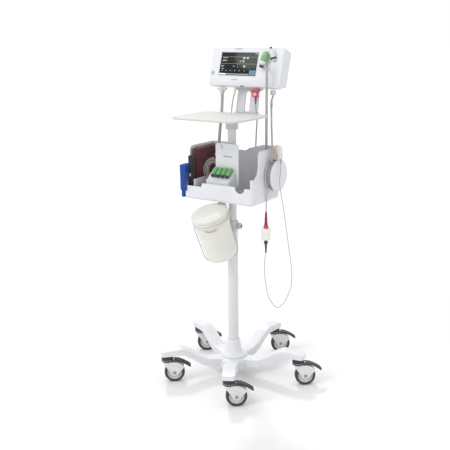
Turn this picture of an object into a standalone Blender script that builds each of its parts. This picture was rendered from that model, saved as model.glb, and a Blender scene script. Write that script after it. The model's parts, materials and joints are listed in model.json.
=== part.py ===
"""Patient monitor on a five-caster roll stand.

Metres, +Z up, the monitor's face towards -Y. Every place on the stand is given from the column's axis,
which stands at COLUMN in the model's own frame, so that the origin is the middle of the stand's footprint.
"""
import math

import bmesh
import bpy
from mathutils import Matrix, Vector

GAP = 0.0003                  # clearance between pieces that touch
MERGE = 0.000008              # points closer than this are one point

# ---- driving dimensions ----
COLUMN = (-0.03265, -0.03267)   # the column's axis from the middle of the footprint

LEG_COUNT = 5
LEG_AZIMUTH = math.radians(29.4)      # the front leg, from -Y towards +X
STEM_RADIUS = 0.253                   # caster stems from the column's axis
LEG_WIDTH = 0.046
PAD_TIP = 0.277
PAD_FOOT = 0.1045                     # underside of a leg's pad
HUB_RADIUS = 0.060
HUB_FOOT = 0.035
HUB_TOP = 0.078
BOOT_TOP = 0.143

WHEEL_RADIUS = 0.0375
WHEEL_WIDTH = 0.024
CASTER_TRAIL = 0.026                  # axle behind the stem
CASTER_HEADING = math.radians(38.3)   # which way every caster trails, from +X
AXLE_RADIUS = 0.004
CHEEK_INSIDE = 0.0127
CHEEK_OUTSIDE = 0.0156
HOOD_RADIUS = 0.041
SWIVEL_CAP_RADIUS = 0.021
STEM_PIN_RADIUS = 0.005
PEDAL_HINGE = (0.0255, 0.0850)        # along the trail from the stem, height
PEDAL_HALF_WIDTH = 0.012

COLUMN_OUTER = 0.019                  # lower tube
COLUMN_BORE = 0.017
COLUMN_FOOT = 0.0455
COLLAR_FOOT = 0.563
COLLAR_TOP = 0.600
MAST_OUTER = 0.015                    # upper tube
MAST_BORE = 0.013
MAST_FOOT = 0.250
MAST_TOP = 0.951
KNOB_HEIGHT = 0.582

BASKET_SIZE = (0.287, 0.185)
BASKET_CENTRE = (0.0, -0.003)
BASKET_FLOOR = 0.683
BASKET_TOP = 0.866
BASKET_WALL = 0.003
DIVIDER_X = -0.100
DIVIDER_TOP = 0.755

REEL_CENTRE = (0.033, 0.775)          # y and height
REEL_RADIUS = 0.056
REEL_WINDING_RADIUS = 0.054
REEL_CORE_RADIUS = 0.030
REEL_FACES = (0.1438, 0.147, 0.150, 0.1685, 0.172)

TRAY_SIZE = (0.274, 0.221)
TRAY_CENTRE = (0.0, -0.075)
TRAY_TOP = 0.980
TRAY_THICKNESS = 0.005
TRAY_CORNER = 0.035
HEAD_PLATE_TOP = 0.9747

TILT_AXIS = (0.114, 1.060)            # y and height of the monitor's tilt axis
TILT_REST = math.radians(17.4)
SCREEN_CENTRE = (-0.035, -0.0399, 0.0755)   # from the tilt axis, in the monitor's own axes
SCREEN_SIZE = (0.153, 0.082)
FACE_LEFT, FACE_RIGHT = -0.118, 0.180       # from the screen's centre
FACE_BOTTOM, FACE_TOP = -0.080, 0.062
FACE_CORNER = 0.013
BEZEL_DEPTH = 0.018
HOUSING_BACK = 0.058
HOUSING_STEP = (0.030, -0.066)              # depth and height of the stepped underside
SHELL = 0.003
THICK_FROM = 0.106                          # the bezel is thick right of this, round the probe wells

BIN_FOOT = (0.0038, -0.0745, 0.4871)
BIN_LEAN = math.radians(20.4)
BIN_TURN = math.radians(-11.0)               # the lean's heading, from -Y
BIN_HEIGHT = 0.1704
BIN_FOOT_RADIUS = 0.056
BIN_TOP_RADIUS = 0.0615
BIN_WALL = 0.0025
LID_RADIUS = 0.0655
LID_HINGE = (0.0690, BIN_HEIGHT + 0.0030)    # behind the bin's axis, above its foot
RING_HEIGHT = BIN_HEIGHT - 0.018             # the cradle's ring round the bin
RING_RADIUS = 0.0650
WIRE_RADIUS = 0.0020                         # cradle wire
LOOP_TURN = math.radians(44.0)               # the loop's heading about the bin's axis

PAINTS = {
    "white_paint": ((0.80, 0.81, 0.83), 0.40, 0.0),
    "white_plastic": ((0.78, 0.79, 0.80), 0.42, 0.0),
    "grey_plastic": ((0.60, 0.61, 0.61), 0.48, 0.0),
    "dark_plastic": ((0.045, 0.045, 0.048), 0.50, 0.0),
    "tray_plastic": ((0.66, 0.66, 0.61), 0.50, 0.0),
    "column_paint": ((0.62, 0.63, 0.63), 0.35, 0.1),
    "caster_metal": ((0.58, 0.59, 0.58), 0.42, 0.2),
    "tyre": ((0.040, 0.038, 0.038), 0.62, 0.0),
    "steel": ((0.70, 0.71, 0.72), 0.30, 1.0),
    "green_plastic": ((0.16, 0.48, 0.18), 0.30, 0.0),
    "red_plastic": ((0.45, 0.03, 0.08), 0.38, 0.0),
    "beige_plastic": ((0.60, 0.54, 0.46), 0.45, 0.0),
    "hose": ((0.42, 0.42, 0.38), 0.55, 0.0),
    "white_cable": ((0.74, 0.74, 0.72), 0.45, 0.0),
    "maroon_cloth": ((0.090, 0.018, 0.028), 0.85, 0.0),
    "black_cloth": ((0.018, 0.018, 0.022), 0.85, 0.0),
    "blue_cloth": ((0.006, 0.045, 0.240), 0.80, 0.0),
    "glass": ((0.010, 0.010, 0.012), 0.10, 0.0),
    "circuit": ((0.02, 0.16, 0.07), 0.50, 0.0),
    "cell": ((0.08, 0.09, 0.12), 0.55, 0.0),
}


# ---- scene helpers ----
def clear_scene():
    for item in list(bpy.data.objects):
        bpy.data.objects.remove(item, do_unlink=True)


def material(name):
    found = bpy.data.materials.get(name)
    if found:
        return found
    colour, roughness, metallic = PAINTS[name]
    made = bpy.data.materials.new(name)
    made.use_nodes = True
    shader = made.node_tree.nodes["Principled BSDF"]
    shader.inputs["Base Color"].default_value = (*colour, 1.0)
    shader.inputs["Roughness"].default_value = roughness
    shader.inputs["Metallic"].default_value = metallic
    return made


def empty(name, parent, location, rotation=(0, 0, 0)):
    frame = bpy.data.objects.new(name, None)
    frame.empty_display_size = 0.02
    bpy.context.collection.objects.link(frame)
    frame.parent = parent
    frame.location = location
    frame.rotation_euler = rotation
    return frame


def node(name, mesh, paint, parent, location=(0, 0, 0), rotation=(0, 0, 0)):
    """A sub-part: an object of its own, with its material, placed under its parent."""
    if not mesh.materials:
        mesh.materials.append(material(paint))
    part = bpy.data.objects.new(name, mesh)
    bpy.context.collection.objects.link(part)
    part.parent = parent
    part.location = location
    part.rotation_euler = rotation
    return part


# ---- forms: each returns a closed bmesh ----
def rounded_outline(left, right, bottom, top, radius, steps=5):
    """Anticlockwise outline of a rectangle with round corners."""
    corners = ((right, top, 0), (left, top, 90), (left, bottom, 180), (right, bottom, 270))
    outline = []
    for x, y, start in corners:
        centre_x = x - math.copysign(radius, x - (left + right) / 2)
        centre_y = y - math.copysign(radius, y - (bottom + top) / 2)
        for step in range(steps + 1):
            angle = math.radians(start + 90 * step / steps)
            outline.append((centre_x + radius * math.cos(angle), centre_y + radius * math.sin(angle)))
    return outline


def extruded(outline, low, high, axis="Z"):
    """An outline carried from low to high: along Z, or outline (x, z) along Y, or outline (y, z) along X."""
    form = bmesh.new()
    place = {"Z": lambda a, b, c: (a, b, c), "Y": lambda a, b, c: (a, c, b), "X": lambda a, b, c: (c, a, b)}[axis]
    foot = [form.verts.new(place(a, b, low)) for a, b in outline]
    head = [form.verts.new(place(a, b, high)) for a, b in outline]
    form.faces.new(foot)
    form.faces.new(head)
    for index in range(len(outline)):
        after = (index + 1) % len(outline)
        form.faces.new((foot[index], foot[after], head[after], head[index]))
    bmesh.ops.recalc_face_normals(form, faces=form.faces)
    return form


def block(size, centre):
    form = bmesh.new()
    bmesh.ops.create_cube(form, size=1.0)
    bmesh.ops.scale(form, vec=size, verts=form.verts)
    bmesh.ops.translate(form, vec=centre, verts=form.verts)
    return form


def turned(profile, steps=24, ring=False):
    """A profile of (radius, height) turned about Z. With ring, the profile closes on itself clear of the axis."""
    form = bmesh.new()
    rows = []
    for radius, height in profile:
        if radius < 1e-6:
            rows.append([form.verts.new((0, 0, height))])
            continue
        turn = [2 * math.pi * step / steps for step in range(steps)]
        rows.append([form.verts.new((radius * math.cos(a), radius * math.sin(a), height)) for a in turn])
    pairs = list(zip(rows, rows[1:]))
    if ring:
        pairs.append((rows[-1], rows[0]))
    for row, following in pairs:
        for step in range(steps):
            after = (step + 1) % steps
            if len(row) == 1:
                form.faces.new((row[0], following[step], following[after]))
            elif len(following) == 1:
                form.faces.new((row[step], row[after], following[0]))
            else:
                form.faces.new((row[step], row[after], following[after], following[step]))
    bmesh.ops.recalc_face_normals(form, faces=form.faces)
    return form


def rod(radius, low, high, steps=12):
    return turned([(0, low), (radius, low), (radius, high), (0, high)], steps)


def sleeve(bore, outer, low, high, steps=24):
    return turned([(bore, low), (outer, low), (outer, high), (bore, high)], steps, ring=True)


def placed(form, location=(0, 0, 0), rotation=(0, 0, 0)):
    """Turn a form by X, then Y, then Z angles, and move it."""
    turn = Matrix.Rotation(rotation[2], 4, "Z") @ Matrix.Rotation(rotation[1], 4, "Y")
    turn = turn @ Matrix.Rotation(rotation[0], 4, "X")
    bmesh.ops.transform(form, matrix=Matrix.Translation(location) @ turn, verts=form.verts)
    return form


def along(form, axis, location=(0, 0, 0)):
    """Stand a form that was made on Z along another direction instead."""
    turn = Vector((0, 0, 1)).rotation_difference(Vector(axis)).to_matrix().to_4x4()
    bmesh.ops.transform(form, matrix=Matrix.Translation(location) @ turn, verts=form.verts)
    return form


def softened(form, width, segments=2, chosen=None):
    """Round the form's edges, or only those for which chosen(edge) is true."""
    edges = [edge for edge in form.edges if edge.calc_face_angle(0) > math.radians(30)]
    if chosen:
        edges = [edge for edge in edges if chosen(edge)]
    bmesh.ops.bevel(form, geom=edges, offset=width, segments=segments, affect="EDGES", profile=0.5)
    return form


def level(edge):
    return abs(edge.verts[0].co.z - edge.verts[1].co.z) < 1e-5


def as_mesh(form, name):
    mesh = bpy.data.meshes.new(name)
    form.to_mesh(mesh)
    form.free()
    return mesh


def smoothed(mesh, angle=32):
    mesh.shade_smooth()
    mesh.set_sharp_from_angle(angle=math.radians(angle))
    return mesh


def carved(form, *steps):
    """The form as a mesh, after each step's form is joined on ("UNION") or cut away ("DIFFERENCE")."""
    body = bpy.data.objects.new("carving", as_mesh(form, "carving"))
    bpy.context.collection.objects.link(body)
    tools = []
    for operation, tool_form in steps:
        tool = bpy.data.objects.new("carving_tool", as_mesh(tool_form, "carving_tool"))
        tool.hide_render = True
        tool.display_type = "WIRE"
        bpy.context.collection.objects.link(tool)
        tools.append(tool)
        cut = body.modifiers.new(operation.lower(), "BOOLEAN")
        cut.operation = operation
        cut.solver = "EXACT"
        cut.object = tool
    result = as_form(bpy.data.meshes.new_from_object(body.evaluated_get(bpy.context.evaluated_depsgraph_get())))
    for item in (body, *tools):
        bpy.data.objects.remove(item, do_unlink=True)
    bmesh.ops.remove_doubles(result, verts=result.verts, dist=MERGE)
    bmesh.ops.dissolve_degenerate(result, edges=result.edges, dist=MERGE)
    return smoothed(as_mesh(result, "carved"))


def simple(form):
    return smoothed(as_mesh(form, "form"))


def as_form(mesh):
    form = bmesh.new()
    form.from_mesh(mesh)
    return form


# ---- cords ----
def smooth_route(points, spacing):
    """Evenly spaced points on a smooth curve (centripetal Catmull-Rom) through the route's own points."""
    route = [Vector(point) for point in points]
    route = [2 * route[0] - route[1], *route, 2 * route[-1] - route[-2]]
    fine = [route[1]]
    for index in range(1, len(route) - 2):
        a, b, c, d = route[index - 1:index + 3]
        knots = [0.0]
        for start, end in ((a, b), (b, c), (c, d)):
            knots.append(knots[-1] + math.sqrt((end - start).length))
        for step in range(1, 13):
            t = knots[1] + (knots[2] - knots[1]) * step / 12
            ab = a.lerp(b, (t - knots[0]) / (knots[1] - knots[0]))
            bc = b.lerp(c, (t - knots[1]) / (knots[2] - knots[1]))
            cd = c.lerp(d, (t - knots[2]) / (knots[3] - knots[2]))
            abc = ab.lerp(bc, (t - knots[0]) / (knots[2] - knots[0]))
            bcd = bc.lerp(cd, (t - knots[1]) / (knots[3] - knots[1]))
            fine.append(abc.lerp(bcd, (t - knots[1]) / (knots[2] - knots[1])))
    length = sum((after - before).length for before, after in zip(fine, fine[1:]))
    count = max(2, round(length / spacing))
    wanted = [length * step / count for step in range(count + 1)]
    spaced, walked = [fine[0]], 0.0
    for before, after in zip(fine, fine[1:]):
        stretch = (after - before).length
        while len(spaced) < count and walked + stretch >= wanted[len(spaced)]:
            spaced.append(before.lerp(after, (wanted[len(spaced)] - walked) / stretch))
        walked += stretch
    spaced.append(fine[-1])
    return spaced


def cord(name, points, diameter, paint, parent, spacing=None, thick=None, closed=False):
    """A cord's tube on a POLY spline. thick(distance from its end, distance from its start) scales it."""
    spots = [Vector(p) for p in points] if closed else smooth_route(points, spacing or 2.6 * diameter)
    line = bpy.data.curves.new(name, "CURVE")
    line.dimensions = "3D"
    line.bevel_depth = diameter / 2
    line.bevel_resolution = 2
    line.use_fill_caps = not closed
    spline = line.splines.new("POLY")
    spline.points.add(len(spots) - 1)
    spline.use_cyclic_u = closed
    walked = 0.0
    total = sum((after - before).length for before, after in zip(spots, spots[1:]))
    for index, spot in enumerate(spots):
        if index:
            walked += (spot - spots[index - 1]).length
        spline.points[index].co = (*spot, 1.0)
        if thick:
            spline.points[index].radius = thick(total - walked, walked)
    line.materials.append(material(paint))
    part = bpy.data.objects.new(name, line)
    bpy.context.collection.objects.link(part)
    part.parent = parent
    return part


def wire_form(points, radius, closed=False, spacing=0.022):
    """A bent wire as a closed form."""
    spots = points if closed else smooth_route(points, spacing)
    part = cord("wire", spots, 2 * radius, "steel", None, spacing, closed=closed)
    part.data.bevel_resolution = 1
    form = as_form(bpy.data.meshes.new_from_object(part.evaluated_get(bpy.context.evaluated_depsgraph_get())))
    bpy.data.objects.remove(part, do_unlink=True)
    bmesh.ops.remove_doubles(form, verts=form.verts, dist=MERGE)
    bmesh.ops.recalc_face_normals(form, faces=form.faces)
    return form


# ---- base ----
def leg_direction(index):
    azimuth = LEG_AZIMUTH + 2 * math.pi * index / LEG_COUNT
    return Vector((math.sin(azimuth), -math.cos(azimuth), 0))


def leg_form(index):
    """A leg seen from the side, from the hub out to its pad, carried across its width."""
    top = [(0.040, 0.073), (0.100, 0.078), (0.130, 0.091), (0.165, 0.114), (0.190, 0.127), (0.205, 0.129),
           (0.253, 0.125), (PAD_TIP, 0.121)]
    foot = [(PAD_TIP, PAD_FOOT), (0.205, PAD_FOOT), (0.190, 0.102), (0.165, 0.088), (0.130, 0.062),
            (0.100, 0.049), (0.040, 0.040)]
    form = extruded(top + foot, -LEG_WIDTH / 2, LEG_WIDTH / 2, axis="Y")
    softened(form, 0.010, 2, lambda edge: min(v.co.x for v in edge.verts) > PAD_TIP - 1e-4
             and abs(edge.verts[0].co.z - edge.verts[1].co.z) > 0.01)
    top_line = {(round(r, 5), round(z, 5)) for r, z in top}
    softened(form, 0.003, 1, lambda edge: abs(edge.verts[0].co.y - edge.verts[1].co.y) < 1e-5
             and all((round(v.co.x, 5), round(v.co.z, 5)) in top_line for v in edge.verts))
    direction = leg_direction(index)
    return placed(form, rotation=(0, 0, math.atan2(direction.y, direction.x)))


def build_base(stand):
    hub = turned([(0, HUB_FOOT), (0.052, HUB_FOOT), (HUB_RADIUS, 0.042), (HUB_RADIUS - 0.002, 0.066),
                  (0.050, HUB_TOP), (0, HUB_TOP)], 32)
    steps = [("UNION", leg_form(index)) for index in range(LEG_COUNT)]
    steps.append(("DIFFERENCE", rod(COLUMN_OUTER + GAP + 0.0002, COLUMN_FOOT - GAP, 0.2, 28)))
    for index in range(LEG_COUNT):
        stem = leg_direction(index) * STEM_RADIUS
        steps.append(("DIFFERENCE", placed(rod(STEM_PIN_RADIUS + 0.0008, 0.05, 0.1135, 10), stem)))
    node("base_star", carved(hub, *steps), "white_paint", stand)
    boot = turned([(0.0193, HUB_TOP + GAP), (0.0455, HUB_TOP + GAP), (0.0455, 0.081), (0.038, 0.087),
                   (0.031, 0.099), (0.027, 0.116), (0.0235, BOOT_TOP - 0.003), (0.022, BOOT_TOP),
                   (0.0193, BOOT_TOP)], 22, ring=True)
    node("hub_boot", simple(boot), "white_paint", stand)
    tube = sleeve(COLUMN_BORE, COLUMN_OUTER, COLUMN_FOOT, COLLAR_FOOT - GAP)
    node("lower_pole", simple(tube), "column_paint", stand)
    collar = turned([(MAST_OUTER + GAP, COLLAR_FOOT), (0.0195, COLLAR_FOOT), (0.021, 0.567), (0.021, 0.595),
                     (0.0185, COLLAR_TOP), (MAST_OUTER + GAP, COLLAR_TOP)], 22, ring=True)
    boss = placed(rod(0.009, 0.0175, 0.0245, 14), (0, 0, KNOB_HEIGHT), (0, math.pi / 2, 0))
    bore = placed(rod(0.0034, 0.010, 0.040), (0, 0, KNOB_HEIGHT), (0, math.pi / 2, 0))
    node("pole_collar", carved(collar, ("UNION", boss), ("DIFFERENCE", bore)), "grey_plastic", stand)
    knob_axis = empty("height_knob_axis", stand, (0.0248, 0, KNOB_HEIGHT), (0, math.pi / 2, 0))
    lobed = [(0.0108 + 0.0009 * math.cos(6 * a), a) for a in (math.radians(15 * k) for k in range(24))]
    grip = extruded([(radius * math.cos(a), radius * math.sin(a)) for radius, a in lobed], 0, 0.012)
    softened(grip, 0.0012, 1, level)
    screw = rod(0.003, -0.009, 0.001, 12)
    node("height_knob", carved(grip, ("UNION", screw)), "grey_plastic", knob_axis)


def hood_outline():
    """The fork from the side, trail from the stem against height: neck, hood over the wheel, cheeks."""
    axle = (CASTER_TRAIL, WHEEL_RADIUS)
    outline = [(-0.014, 0.081), (0.013, 0.081)]
    for degrees in (100, 83, 66, 49, 32):
        angle = math.radians(degrees)
        outline.append((axle[0] + HOOD_RADIUS * math.cos(angle), axle[1] + HOOD_RADIUS * math.sin(angle)))
    outline += [(0.059, 0.055), (0.048, 0.042), (0.037, 0.029), (0.026, 0.025), (0.014, 0.030), (0.008, 0.042),
                (-0.014, 0.074)]
    return outline[::-1]


def across(form, trail, height):
    """Lay a form that was made on Z across the caster, at a place on its side view."""
    return placed(form, (trail, 0, height), (math.pi / 2, 0, 0))


def fork_mesh():
    hood = extruded(hood_outline(), -CHEEK_OUTSIDE, CHEEK_OUTSIDE, axis="Y")
    trail, height = CASTER_TRAIL, WHEEL_RADIUS
    hinge_trail, hinge_height = PEDAL_HINGE
    wheel_room = across(rod(WHEEL_RADIUS + 0.0020, -CHEEK_INSIDE, CHEEK_INSIDE, 20), trail, height)
    mouth = block((0.060, 2 * CHEEK_INSIDE, 0.036), (trail, 0, height - 0.018))
    cap_top = PAD_FOOT - 0.0007
    cap = turned([(0, 0.0805), (SWIVEL_CAP_RADIUS, 0.0805), (SWIVEL_CAP_RADIUS, cap_top - 0.0016),
                  (0.0195, cap_top), (0, cap_top)], 16)
    stem = rod(STEM_PIN_RADIUS, cap_top - 0.001, 0.1125, 8)
    axle = across(rod(AXLE_RADIUS, -0.0174, 0.0174, 6), trail, height)
    lug = block((0.0070, 0.0080, 0.0096), (hinge_trail, 0, hinge_height - 0.0024))
    pin = across(rod(0.0018, -0.0095, 0.0095, 8), hinge_trail, hinge_height)
    return carved(hood, ("DIFFERENCE", wheel_room), ("DIFFERENCE", mouth), ("UNION", cap), ("UNION", stem),
                  ("UNION", axle), ("UNION", lug), ("UNION", pin))


def wheel_mesh():
    half, rim = WHEEL_WIDTH / 2, WHEEL_RADIUS
    profile = [(AXLE_RADIUS + GAP, -half + 0.0005), (0.0262, -half), (rim - 0.003, -half), (rim, -half + 0.0040)]
    profile += [(radius, -height) for radius, height in reversed(profile)]
    return simple(placed(turned(profile, 24, ring=True), rotation=(math.pi / 2, 0, 0)))


def pedal_mesh():
    """The brake lever's side view, from the hinge over the hood to its tip, carried across its width."""
    hinge_trail, hinge_height = PEDAL_HINGE
    outline = []
    for degrees in (250, 203, 157, 110):
        angle = math.radians(degrees)
        outline.append((0.0037 * math.cos(angle), 0.0037 * math.sin(angle)))
    above = [(0.042, 0.0868), (0.056, 0.0810), (0.074, 0.0708), (0.0875, 0.0610)]
    below = [(0.0845, 0.0560), (0.071, 0.0658), (0.054, 0.0755), (0.040, 0.0808)]
    outline += [(trail - hinge_trail, height - hinge_height) for trail, height in above + below]
    lever = extruded(outline[::-1], -PEDAL_HALF_WIDTH, PEDAL_HALF_WIDTH, axis="Y")
    softened(lever, 0.0020, 1, lambda edge: min(v.co.x for v in edge.verts) > 0.055)
    lug_room = block((0.016, 0.0088, 0.020), (-0.0010, 0, 0))
    bore = across(rod(0.0022, -0.03, 0.03, 8), 0, 0)
    return carved(lever, ("DIFFERENCE", lug_room), ("DIFFERENCE", bore))


def build_casters(stand):
    fork, wheel, pedal = fork_mesh(), wheel_mesh(), pedal_mesh()
    for index in range(LEG_COUNT):
        number = index + 1
        stem = leg_direction(index) * STEM_RADIUS
        swivel = empty(f"caster_axis_{number}", stand, stem, (0, 0, CASTER_HEADING))
        node(f"caster_fork_{number}", fork, "caster_metal", swivel)
        node(f"caster_wheel_{number}", wheel, "tyre", swivel, (CASTER_TRAIL, 0, WHEEL_RADIUS))
        node(f"brake_pedal_{number}", pedal, "dark_plastic", swivel, (PEDAL_HINGE[0], 0, PEDAL_HINGE[1]))


# ---- basket and what it holds ----
def build_basket(mast):
    half_x, half_y = BASKET_SIZE[0] / 2, BASKET_SIZE[1] / 2
    front, back = BASKET_CENTRE[1] - half_y, BASKET_CENTRE[1] + half_y
    wall = BASKET_WALL
    outer = extruded(rounded_outline(-half_x, half_x, front, back, 0.014, 4), BASKET_FLOOR, BASKET_TOP)
    softened(outer, 0.009, 2, lambda edge: max(v.co.z for v in edge.verts) < BASKET_FLOOR + 1e-4)
    inner = extruded(rounded_outline(-half_x + wall, half_x - wall, front + wall, back - wall, 0.011, 4),
                     BASKET_FLOOR + wall, BASKET_TOP + 0.05)
    softened(inner, 0.006, 1, lambda edge: max(v.co.z for v in edge.verts) < BASKET_FLOOR + wall + 1e-4)
    # The side walls step down towards the front in one easy curve.
    side_line = [(front - 0.02, 0.775), (-0.084, 0.775), (-0.0735, 0.781), (-0.064, 0.790), (-0.0592, 0.800),
                 (-0.057, 0.815), (-0.057, 0.850), (-0.053, 0.861), (-0.042, BASKET_TOP + 0.002),
                 (-0.042, 0.92), (front - 0.02, 0.92)]
    side_cut = extruded(side_line, -0.2, 0.2, axis="X")
    # The front wall is lower still, with a half-round finger notch right of the middle.
    notch_x, notch_radius, lip = 0.0917, 0.020, 0.744
    notch = [(notch_x + notch_radius * math.cos(a), lip + notch_radius * math.sin(a))
             for a in (math.radians(180 + 30 * k) for k in range(7))]
    front_line = [(-half_x + wall + 0.0005, 0.95), (-half_x + wall + 0.0005, 0.738), (-0.132, 0.731),
                  (-0.069, 0.731), (-0.062, 0.745), (notch_x - notch_radius - 0.004, 0.746), *notch,
                  (half_x - wall - 0.0005, 0.743), (half_x - wall - 0.0005, 0.95)]
    front_cut = extruded(front_line, front - 0.01, front + wall + 0.0005, axis="Y")
    # The back wall dips between its corners.
    back_line = [(-0.070, 0.95), (-0.070, 0.864), (-0.055, 0.858), (-0.042, 0.846), (-0.030, 0.841),
                 (0.004, 0.841), (0.016, 0.850), (0.042, 0.857), (0.070, 0.864), (0.070, 0.95)]
    back_cut = extruded(back_line, back - wall - 0.001, back + 0.01, axis="Y")
    boss = rod(0.024, BASKET_FLOOR + 0.001, 0.704, 24)
    divider = block((0.0025, BASKET_SIZE[1] - 0.004, DIVIDER_TOP - 0.6845),
                    (DIVIDER_X, BASKET_CENTRE[1], (DIVIDER_TOP + 0.6845) / 2))
    pole_hole = rod(MAST_OUTER + 0.0008, 0.60, 0.80, 24)
    node("basket", carved(outer, ("DIFFERENCE", inner), ("UNION", divider), ("UNION", boss),
                          ("DIFFERENCE", side_cut), ("DIFFERENCE", front_cut), ("DIFFERENCE", back_cut),
                          ("DIFFERENCE", pole_hole)), "white_plastic", mast)


RACK_PANEL_Y = (-0.033, -0.029)
RACK_BLOCK_X = (-0.058, 0.036)
PROBE_SPOTS = (-0.037, -0.0172, 0.0026, 0.0224)
PROBE_REST = ((-0.0395, 0.7920), (-0.0725, 0.7660))   # rear top and front end of a spare probe: y, height


def build_rack(mast):
    low, high = 0.735, 0.880
    panel = extruded(rounded_outline(-0.0475, 0.0475, low, high, 0.008, 3), *RACK_PANEL_Y, axis="Y")
    lug = along(rod(0.0085, 0, 0.0045, 16), (0, -1, 0), (-0.026, RACK_PANEL_Y[0] + 0.0005, 0.8665))
    clamp = sleeve(MAST_OUTER + GAP, 0.021, 0.765, 0.795, 24)
    neck = block((0.020, 0.0130, 0.028), (0, -0.0245, 0.780))
    bore = rod(MAST_OUTER + GAP + 0.0001, 0.70, 0.85, 24)
    cheek = [(-0.078, 0.700), (RACK_PANEL_Y[0] + 0.001, 0.700), (RACK_PANEL_Y[0] + 0.001, 0.7880),
             (-0.078, 0.7520)]
    holder = extruded(cheek, *RACK_BLOCK_X, axis="X")
    lip = block((RACK_BLOCK_X[1] - RACK_BLOCK_X[0], 0.003, 0.012),
                (sum(RACK_BLOCK_X) / 2, -0.0765, 0.751))
    node("probe_rack", carved(panel, ("UNION", holder), ("UNION", lip), ("UNION", lug), ("UNION", neck),
                              ("UNION", clamp), ("DIFFERENCE", bore)), "white_plastic", mast)
    (rear_y, rear_z), (front_y, front_z) = PROBE_REST
    reach = Vector((0, front_y - rear_y, front_z - rear_z))
    profile = [(0, 0), (0.0068, 0.0004), (0.0088, 0.005), (0.0088, 0.025), (0.0060, 0.036), (0.0058, reach.length),
               (0, reach.length)]
    probe = simple(along(turned(profile, 14), reach.normalized()))
    for number, x in enumerate(PROBE_SPOTS, 1):
        node(f"spare_probe_{number}", probe, "green_plastic", mast, (x, rear_y, rear_z + 0.0025))


def build_cuffs(mast):
    maroon = softened(block((0.0285, 0.140, 0.1750), (-0.1215, 0.0135, 0.7745)), 0.010, 2)
    node("cuff_maroon", simple(maroon), "maroon_cloth", mast)
    black = softened(block((0.022, 0.0190, 0.1480), (-0.1265, -0.0690, 0.7620)), 0.007, 2)
    node("cuff_black", simple(black), "black_cloth", mast)
    slab = softened(block((0.0142, 0.0260, 0.124), (-0.1512, -0.0810, 0.7440)), 0.004, 2)
    over_wall = softened(block((0.0210, 0.0150, 0.0200), (-0.1480, -0.0835, 0.7952)), 0.002, 1)
    inner_leg = softened(block((0.0225, 0.0075, 0.0650), (-0.1263, -0.0838, 0.7733)), 0.002, 1)
    node("cuff_blue", carved(slab, ("UNION", over_wall), ("UNION", inner_leg)), "blue_cloth", mast)
    turns = 24
    ellipse = [(math.cos(2 * math.pi * k / turns), math.sin(2 * math.pi * k / turns)) for k in range(turns)]
    outer = extruded([(0.034 * c, 0.048 * s) for c, s in ellipse], -0.007, 0.007, axis="Y")
    softened(outer, 0.003, 1, lambda edge: abs(edge.verts[0].co.y - edge.verts[1].co.y) < 1e-5)
    hole = extruded([(0.017 * c, 0.031 * s) for c, s in ellipse], -0.02, 0.02, axis="Y")
    coil = as_form(carved(outer, ("DIFFERENCE", hole)))
    placed(coil, (-0.067, -0.006, 0.776), (0, 0, math.radians(33.4)))
    node("cuff_tube", simple(coil), "hose", mast)


def build_reel(mast):
    y, z = REEL_CENTRE
    boss_face, inner_face, inner_flange, outer_flange, outer_face = REEL_FACES
    spool = [(0, boss_face), (0.015, boss_face), (0.015, inner_face), (REEL_RADIUS - 0.001, inner_face),
             (REEL_RADIUS, inner_face + 0.001), (REEL_RADIUS, inner_flange), (REEL_CORE_RADIUS, inner_flange),
             (REEL_CORE_RADIUS, outer_flange), (REEL_RADIUS, outer_flange),
             (REEL_RADIUS, outer_face - 0.0015), (REEL_RADIUS - 0.002, outer_face), (0, outer_face)]
    tab = block((0.0034, 0.012, 0.022), (0.17025, 0.026, 0.8345))
    form = along(turned(spool, 28), (1, 0, 0), (0, y, z))
    node("cable_reel", carved(form, ("UNION", tab)), "white_plastic", mast)
    low, high = inner_flange + GAP, outer_flange - GAP
    winding = turned([(REEL_CORE_RADIUS + 0.0008, low), (REEL_WINDING_RADIUS - 0.003, low),
                      (REEL_WINDING_RADIUS, low + 0.004), (REEL_WINDING_RADIUS, high - 0.004),
                      (REEL_WINDING_RADIUS - 0.003, high), (REEL_CORE_RADIUS + 0.0008, high)], 28, ring=True)
    node("reel_winding", simple(along(winding, (1, 0, 0), (0, y, z))), "hose", mast)


CLIP_HINGE = (0.17025, 0.026, 0.8525)


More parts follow.
